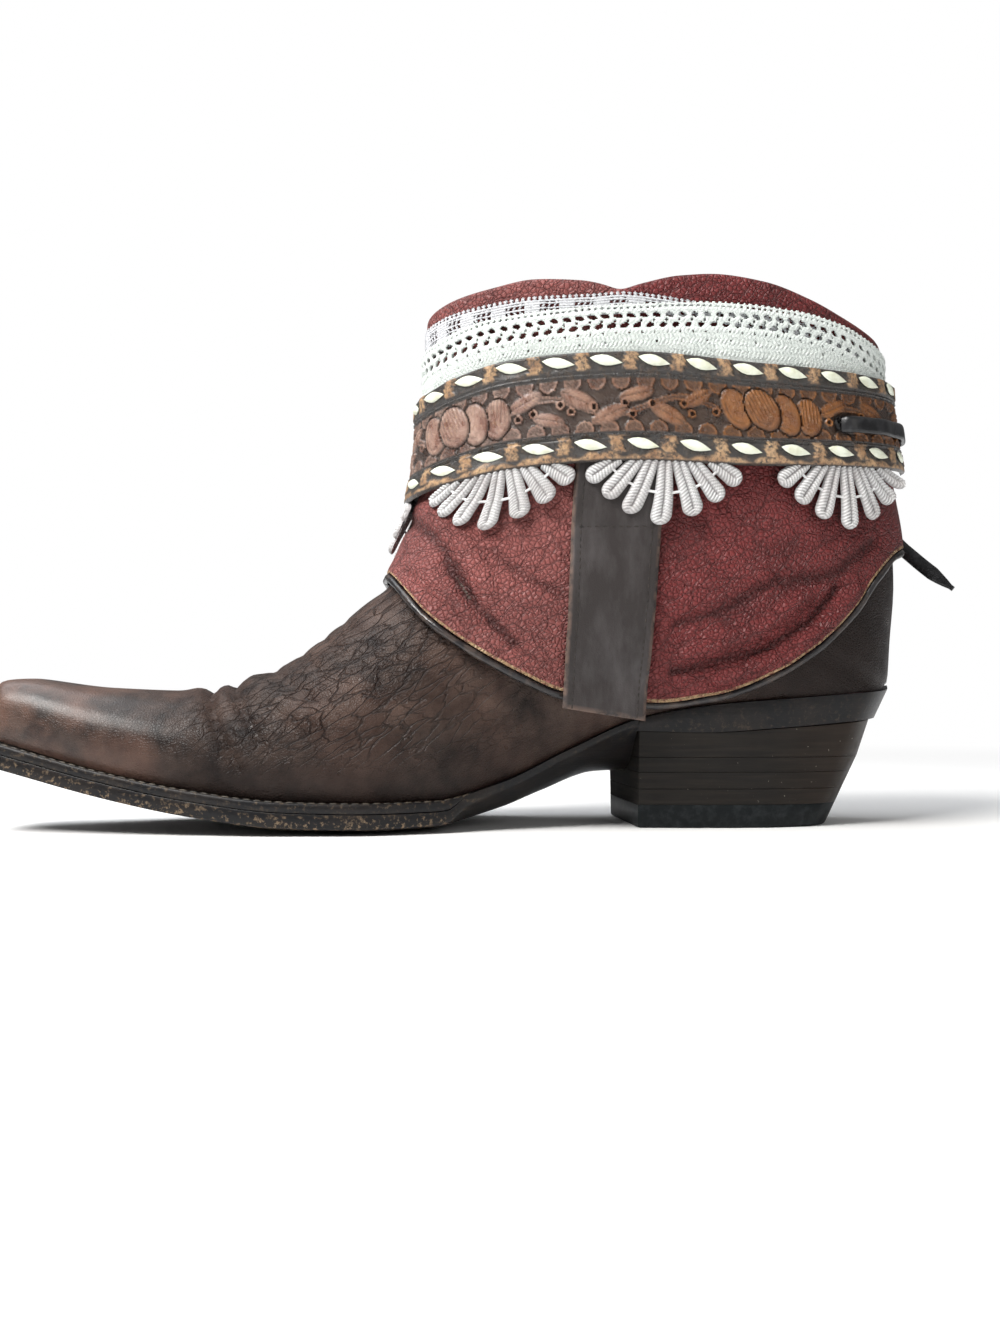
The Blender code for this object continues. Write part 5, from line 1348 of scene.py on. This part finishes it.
turn, length = even_turns(BELT_LOW, BELT_FACE, BELT_STEP, BELT_END)
low, high = height_round(turn, BELT_LOW), height_round(turn, BELT_HIGH)
share = np.linspace(0, 1, BELT_ROWS)
middle = (BELT_BACK + BELT_FACE) / 2
face, out = band_points(turn, low, high, BELT_ROWS, middle)
s, w = np.broadcast_arrays(length[None], BELT_WIDTH * share[:, None])
station_x = shaft_x(turn, (low + high) / 2)
from_end = np.minimum(np.abs(length - length[0]), np.abs(length - length[-1]))
half_thick = (BELT_FACE - BELT_BACK) / 2
end_thick = rounded(from_end, BELT_ROUND) * half_thick
thick = np.minimum(rounded(np.minimum(w, BELT_WIDTH - w), BELT_ROUND) * half_thick, end_thick)
in_band = held((w - BAND_LOW - 0.3) / 0.35) * held((BAND_HIGH - 0.3 - w) / 0.35)
line_places = (BAND_LOW, BAND_LOW - LINE_APART, BAND_HIGH, BAND_HIGH + LINE_APART)
lines = sum(bell(w - at, LINE_WIDTH) for at in line_places)
rib_places = (BAND_LOW - LINE_APART / 2, BAND_HIGH + LINE_APART / 2)
ribbing = RIB_HEIGHT * wave(s, RIB_PITCH) * sum(np.exp(-((w - at) / RIB_HALF) ** 4) for at in rib_places)
relief = in_band * tooling(s, w) - LINE_DEPTH * held(lines) + ribbing
near_side = turn < 0
first_stitch = [np.interp(row["at_x"], station_x[near_side][::-1], length[near_side][::-1]) for row in LACING]
bars, sockets = np.zeros_like(w), np.zeros_like(w)
for row, first in zip(LACING, first_stitch):
    apart = wrapped(s - first, row["pitch"])
    between = wrapped(s - first + row["pitch"] / 2, row["pitch"])
    ragged = BAR_HALF * (1 + 0.22 * np.sin(s * 0.9 + w * 1.1) + 0.16 * np.sin(w * 3.7 + s * 2.3))
    off_row = w - row["up"]
    bars += held((ragged - np.abs(between)) / 0.6) * held((row["reach"] - np.abs(off_row)) / 0.5)
    sockets += held(1.2 - np.hypot(apart / (SOCKET_LONG * LACING_LENGTH), off_row / SOCKET_HIGH))
hole_across = (np.abs(turn)[None] - TIE_HOLE_TURN) * MM_PER_TURN / HOLE_HALF_WIDTH
hole_up = (low + share[:, None] * (high - low) - TIE_HEIGHT) / HOLE_HALF_HEIGHT
hole = np.exp(-hole_across ** 4 - hole_up ** 4)
relief += BAR_HEIGHT * bars - SOCKET_DEPTH * held(sockets) - HOLE_DEPTH * hole
face = face + out * np.where(thick > 0, thick + relief * held(thick / 1.2), 0)[..., None]
back, back_out = band_points(turn, low, high, BELT_BACK_ROWS + 2, middle)
back = (back - back_out * end_thick[None, :, None])[-2:0:-1]
rings = np.concatenate([face, back]).transpose(1, 0, 2)
around = BELT_ROWS + BELT_BACK_ROWS
front_row = np.arange(BELT_ROWS)
back_row = around - 1 - np.round(np.linspace(0, BELT_BACK_ROWS - 1, BELT_ROWS)).astype(int)
cap = np.stack([front_row[1:], front_row[:-1], back_row[:-1], back_row[1:]], axis=-1)
quads = np.concatenate([grid_quads(len(turn), around, closed=True), cap,
                        cap[:, ::-1] + (len(turn) - 1) * around])


def with_back(mask):
    """A mask of the belt's face carried on to its back, where it is nought."""
    return np.concatenate([mask, np.zeros((BELT_BACK_ROWS, mask.shape[1]))]).T


worn_to = 2.6 + 0.9 * np.sin(s * 0.33) + 0.5 * np.sin(s * 0.91)
worn_low = held((worn_to - w) / 0.8) * held((w - 0.4) / 0.5)
belt_leather = look = Look("tooled belt leather", 0.36)
look.feed("Coat Weight", 0.3)
look.feed("Coat Roughness", 0.22)
# Painted sheen: the belt's front is paler and greyer, as if catching the light, and this fades towards the
# back, where the leather's own orange shows.
sheen_fade_back = look.ramp(look.axis("X"), 0.02, 0.075)
patchy = look.ramp(look.noise(6.0, 6.0, 0.65), 0.36, 0.66)
rubbed = look.ramp(look.noise(2.2, 6.0, 0.7), 0.5, 0.62)
tan = look.mix(patchy, look.mix(sheen_fade_back, (0.19, 0.085, 0.058, 1), (0.16, 0.050, 0.008, 1)),
               look.mix(sheen_fade_back, (0.45, 0.30, 0.235, 1), (0.29, 0.105, 0.018, 1)))
sunk = look.ramp(look.mask("relief"), 0.12, -0.55)
tooled = look.mix(look.times(sunk, 0.88), tan, (0.014, 0.008, 0.005, 1))
ridge_wear = look.times(look.ramp(look.mask("relief"), -0.05, 0.25),
                        look.ramp(look.noise(1.3, 5.0, 0.7), 0.56, 0.66))
tooled = look.mix(look.times(ridge_wear, 0.6), tooled, (0.46, 0.29, 0.16, 1))
dyed = look.mix(look.times(rubbed, 0.28), (0.030, 0.026, 0.024, 1), (0.17, 0.10, 0.055, 1))
colour = look.mix(look.mask("band"), dyed, tooled)
bare = look.times(look.maths("MAXIMUM", look.mask("bars"), look.mask("worn")),
                  look.ramp(look.noise(1.6, 5.0, 0.7), 0.36, 0.56))
colour = look.mix(bare, colour, look.mix(patchy, (0.32, 0.17, 0.08, 1), (0.58, 0.38, 0.21, 1)))
# Painted shade: the tie hole, which the mesh only dents, is painted near black.
look.feed("Base Color", look.mix(look.mask("hole"), colour, (0.006, 0.005, 0.005, 1)))
look.feed("Roughness", look.maths("ADD", look.ramp(patchy, 0.0, 1.0, 0.24, 0.42), look.times(bare, 0.3)))
look.bump(look.maths("ADD", look.times(look.grain(0.55)["Height"], 0.5), rubbed), 0.16)
add_piece("boot_belt", rings, quads, belt_leather, ["belt"],
          {"relief": with_back(relief), "band": with_back(in_band), "bars": with_back(held(bars)),
           "worn": with_back(worn_low), "hole": with_back(hole)})

# The lacing is flat cream thong run in and out of slits along both borders, so that a row of leaf
# shapes shows on each.
LACING_WIDTH, LACING_HEIGHT, LACING_SUNK, LACING_END_GAP, LACING_STEP = 3.4, 1.5, 0.15, 8.0, 2.0
LACING_ROUND_FRONT, LACING_ROUND_BACK = 2.4, 1.5
cream_thong = look = Look("cream lacing thong", 0.5)
soiled = look.ramp(look.noise(4.0, 4.0), 0.4, 0.75)
look.feed("Base Color", look.mix(soiled, (0.84, 0.88, 0.74, 1), (0.62, 0.62, 0.45, 1)))


def on_face(marks, up):
    """Points on the belt's face at lengths along it and a height up it, with the ways out."""
    turns = np.interp(-marks, -length, turn)
    foot, top = height_round(turns, BELT_LOW), height_round(turns, BELT_HIGH)
    return off_shaft(turns, foot + up / BELT_WIDTH * (top - foot), BELT_FACE - LACING_SUNK)


def leaf_width(at):
    """Width of a stitch along its length: a leaf, blunter at its front end than at its back."""
    return np.maximum(1 - np.abs(at) ** np.where(at < 0, LACING_ROUND_FRONT, LACING_ROUND_BACK), 0)


stitch_shapes = []
for row, first in zip(LACING, first_stitch):
    marks = first + row["pitch"] * np.arange(-30, 31)
    marks = marks[(marks < length[0] - LACING_END_GAP) & (marks > length[-1] + LACING_END_GAP)]
    centre, stitch_out = on_face(marks, row["up"])
    run = unit(on_face(marks + LACING_STEP, row["up"])[0] - centre)
    side = unit(np.cross(stitch_out, run))
    side *= np.where(side[:, 2:] < 0, -1, 1)
    run = unit(run + side * row["tilt"])
    stitch_shapes.append(beads(centre, run, squared(stitch_out, run), LACING_LENGTH, LACING_WIDTH,
                               LACING_HEIGHT, leaf_width))
points, quads = join(stitch_shapes)
add_piece("belt_lacing", points, quads, cream_thong)

# The fan lace is heavy embroidered lace sewn behind the belt's lower edge. Each fan is seven padded
# fingers of satin stitch spread from one point and held by short threads.
FAN_PLACES = (-178.0, -124.0, -70.5, -17.0, 45.6, 98.8, 160.6)
FINGER_ANGLES = (-54.5, -38, -20, 0, 20, 38, 54.5)
FINGER_REACH = (30.0, 29.6, 30.4, 32.0, 30.4, 29.6, 30.0)
FAN_POINT_UP, FAN_UNDER_BELT = 12.0, 1.4
FINGER_HALF_ROOT, FINGER_HALF_TIP, FINGER_BLUNT = 2.3, 3.5, 0.99
FINGER_ROWS, FINGER_ACROSS = 56, 11
FINGER_BACK, FINGER_THICKNESS, FINGER_ROUND, BACK_ROUND, SATIN_PITCH = 5.5, 1.5, 1.3, 0.15, 1.05
ROWS_TOWARD_TIP, SATIN_SLANT, SATIN_SWELL, SATIN_RELIEF = 1.25, 0.45, 0.12, 0.22
GROOVE_DEPTH, GROOVE_WIDTH, GROOVE_END = 0.75, 0.5, 1.6
BRIDGE_AT, BRIDGE_THICKNESS, BRIDGE_OUT, BRIDGE_STEP = 0.72, 1.3, 0.3, 0.05
BRIDGE_SPAN, BRIDGE_HOLD = 0.42 * math.radians(19), 2.0
REAR_FLARE, REAR_FLARE_FROM, REAR_FLARE_RUN, REAR_FLARE_DOWN = 8.0, 172.0, 16.0, 8.0

fan_line = np.linspace(-1, 1, LINE_POINTS)
fan_path, _ = off_shaft(fan_line, height_round(fan_line, BELT_LOW), FINGER_BACK)
fan_length = lengths(fan_path)
fan_length = np.interp(0.0, fan_line, fan_length) - fan_length


def on_fan(s, below, stand_off):
    """Points at a length along the belt's lower edge and a depth below it, off the shaft."""
    turns = np.interp(-s, -fan_length, fan_line)
    return off_shaft(turns, height_round(turns, BELT_LOW) - below, stand_off)


cotton = look = Look("fan lace cotton", 0.85, 0.25)
dirt = look.ramp(look.noise(11.0, 5.0), 0.42, 0.7)
# Painted shade: the fingers are darkened in their middle groove, along their rims and between the satin
# stitches, where the thread mask falls.
thread = look.ramp(look.mask("thread"), 0.0, 1.0)
white = look.mix(thread, (0.35, 0.34, 0.34, 1), (0.87, 0.87, 0.87, 1))
look.feed("Base Color", look.mix(look.times(dirt, 0.45), white, (0.36, 0.32, 0.31, 1)))
look.bump(look.noise(0.45, 3.0), 0.25)

shapes, threads, finger_area = [], [], 0.0
share = np.linspace(0, 1, FINGER_ROWS)[:, None]
across = np.linspace(-1, 1, FINGER_ACROSS)[None, :]
for middle_s in FAN_PLACES:
    for angle, reach in zip(FINGER_ANGLES, FINGER_REACH):
        lean = math.radians(angle)
        root = (FAN_POINT_UP - FAN_UNDER_BELT) / math.cos(lean)
        r = root + (reach - root) * (1 - (1 - share) ** ROWS_TOWARD_TIP)
        tip = np.clip((r - (reach - FINGER_HALF_TIP)) / FINGER_HALF_TIP, 0, FINGER_BLUNT)
        half = FINGER_HALF_ROOT + (FINGER_HALF_TIP - FINGER_HALF_ROOT) * (r - root) / (reach - root)
        half = half * np.sqrt(1 - tip ** 2)
        v = across * half
        finger_area += np.sum((half[1:] + half[:-1]) * np.diff(r, axis=0))
        satin = 0.5 + 0.5 * wave(r - SATIN_SLANT * np.abs(v), SATIN_PITCH)
        edge = np.minimum(half - np.abs(v), (reach - r) + 0 * v)
        dome = FINGER_THICKNESS * rounded(edge, FINGER_ROUND) * held(edge) ** 0.5
        groove = GROOVE_DEPTH * bell(v, GROOVE_WIDTH) * held(reach - GROOVE_END - r)
        lift = dome * (1 + SATIN_SWELL * (satin - 0.5)) - groove + SATIN_RELIEF * (satin - 0.5)
        s = middle_s + r * math.sin(lean) + v * math.cos(lean)
        below = r * math.cos(lean) - v * math.sin(lean) - FAN_POINT_UP
        flare = held((s - REAR_FLARE_FROM) / REAR_FLARE_RUN) ** 2 * held(below / REAR_FLARE_DOWN)
        base = FINGER_BACK + REAR_FLARE * flare
        face, _ = on_fan(s, below, base + np.maximum(lift, 0) * (edge > 1e-6))
        back, _ = on_fan(s, below, base - BACK_ROUND * rounded(edge, 1.0))
        points, quads, used = slab(face, back)
        shapes.append((points, quads))
        threads.append(np.tile((satin * held(edge / 0.6) * (groove < 0.3)).ravel(), 2)[used])
    lean = np.radians(np.array(FINGER_ANGLES))
    between = (lean[1:] + lean[:-1]) / 2
    r = BRIDGE_AT * np.mean(FINGER_REACH)
    (centre, out), (onward, _) = (
        on_fan(middle_s + r * np.sin(at), r * np.cos(at) - FAN_POINT_UP, FINGER_BACK + BRIDGE_OUT)
        for at in (between, between + BRIDGE_STEP))
    run = unit(onward - centre)
    bridge = beads(centre, run, unit(np.cross(run, np.cross(out, run))), BRIDGE_SPAN * r + BRIDGE_HOLD,
                   BRIDGE_THICKNESS, BRIDGE_THICKNESS, lambda at: 1 - 0.35 * np.cos(at * 1.4))
    shapes.append(bridge)
    threads.append(np.ones(len(bridge[0])))
points, quads = join(shapes)
fans = add_piece("boot_fan_lace", points, quads, cotton, ["fan_lace"],
                 {"thread": np.concatenate(threads)})

# The tie is a black leather thong run through a hole near each end of the belt and knotted behind
# the heel, with one end left hanging.
TIE_STAND_OFF, TIE_HALF_WIDTH, TIE_HALF_THICK = 9.0, 2.75, 0.95
TIE_DIP, TIE_DIP_LENGTH, TIE_POINTS = 2.8, 7.0, 120
TIE_RIPPLE, TIE_RIPPLES, TIE_RIPPLE_FROM = 0.25, 0.45, 6.0
THONG_AROUND, THONG_WIDE_POWER, THONG_THICK_POWER = 16, 0.6, 0.75
KNOT_HALF, KNOT_TURN, KNOT_STAND_OFF, KNOT_STRAND, KNOT_POINTS, KNOT_SPREAD = 3.7, 0.9, 13.9, 1.45, 90, 2.7
TAIL_ROUTE = ((308.0, 22.2, 128.7), (309.2, 22.6, 119.0), (310.8, 21.5, 109.0), (315.0, 17.0, 99.5),
              (320.5, 11.0, 92.0), (325.8, 6.8, 86.3), (331.5, 3.5, 81.0))
TAIL_POINTS = 40
TAIL_HALF_WIDTH, TAIL_HALF_THICK, TAIL_TAPER, TAIL_TIP, TAIL_TAPER_POWER = 2.6, 0.85, 9.0, 0.16, 0.6
TAIL_ROOT, TAIL_ROOT_RUN = 0.55, 12.0
thong = look = Look("black thong leather", 0.3)
worn_thong = look.ramp(look.noise(3.5, 5.0), 0.45, 0.75)
look.feed("Base Color", look.mix(worn_thong, (0.008, 0.008, 0.009, 1), (0.035, 0.035, 0.038, 1)))
look.bump(look.noise(1.4, 4.0), 0.10)


def strap_tube(path, wide, out, half_width, half_thick):
    """Rings of a flat strap along a path: a squarish oval, wide one way and thin the other."""
    angle = np.linspace(0, 2 * math.pi, THONG_AROUND, endpoint=False)
    cosine, sine = np.cos(angle), np.sin(angle)
    u = np.sign(cosine) * np.abs(cosine) ** THONG_WIDE_POWER
    v = np.sign(sine) * np.abs(sine) ** THONG_THICK_POWER
    rings = (path[:, None] + wide[:, None] * np.reshape(half_width, (-1, 1, 1)) * u[None, :, None]
             + out[:, None] * np.reshape(half_thick, (-1, 1, 1)) * v[None, :, None])
    return rings, loft_quads(len(path), len(angle))


around_back = np.linspace(TIE_HOLE_TURN, 2 - TIE_HOLE_TURN, TIE_POINTS)
turn = np.where(around_back > 1, around_back - 2, around_back)
path, out = off_shaft(turn, np.full(turn.shape, TIE_HEIGHT), TIE_STAND_OFF)
length = lengths(path)
from_hole = np.minimum(length, length[-1] - length)
path = path - out * (TIE_DIP * (1 - rounded(from_hole, TIE_DIP_LENGTH)))[:, None]
ripple = TIE_RIPPLE * np.sin(length * TIE_RIPPLES) * held(from_hole / TIE_RIPPLE_FROM)
path = path + out * ripple[:, None]
run = unit(np.gradient(path, axis=0))
wide = unit(np.cross(run, out))
points, quads = strap_tube(path, wide, unit(np.cross(wide, run)), TIE_HALF_WIDTH, TIE_HALF_THICK)
add_piece("boot_tie_bar", points, quads, thong, ["tie_bar"])

middle, out = off_shaft(np.array([KNOT_TURN]), np.array([TIE_HEIGHT]), KNOT_STAND_OFF)
turning = np.linspace(0, 2 * math.pi, KNOT_POINTS, endpoint=False)
trefoil = np.stack([-np.sin(3 * turning), (np.sin(turning) + 2 * np.sin(2 * turning)) / KNOT_SPREAD,
                    (np.cos(turning) - 2 * np.cos(2 * turning)) / KNOT_SPREAD], axis=-1)
path = middle + trefoil * (KNOT_HALF - KNOT_STRAND)
run = unit(np.roll(path, -1, axis=0) - np.roll(path, 1, axis=0))
side = unit(np.cross(run, path - middle))
points, quads = tube(path, side, unit(np.cross(run, side)), KNOT_STRAND, closed=True)
add_piece("boot_tie_knot", points, quads, thong, ["tie_knot"])

route = np.array(TAIL_ROUTE)
steps = np.arange(len(route), dtype=float)
fine = np.linspace(0, steps[-1], TAIL_POINTS)
path = np.stack([smooth(steps, route[:, i], fine) for i in range(3)], axis=-1)
run = unit(np.gradient(path, axis=0))
across_tail = unit(np.cross(run, np.array([[0.0, 1.0, 0.0]])))
length = lengths(path)
narrow = np.clip((length[-1] - length) / TAIL_TAPER, TAIL_TIP, 1) ** TAIL_TAPER_POWER
narrow = narrow * held(TAIL_ROOT + length / TAIL_ROOT_RUN)
points, quads = strap_tube(path, across_tail, unit(np.cross(run, across_tail)), TAIL_HALF_WIDTH * narrow,
                           TAIL_HALF_THICK)
tail = add_piece("boot_tie_end", points, quads, thong, ["tie_end"])
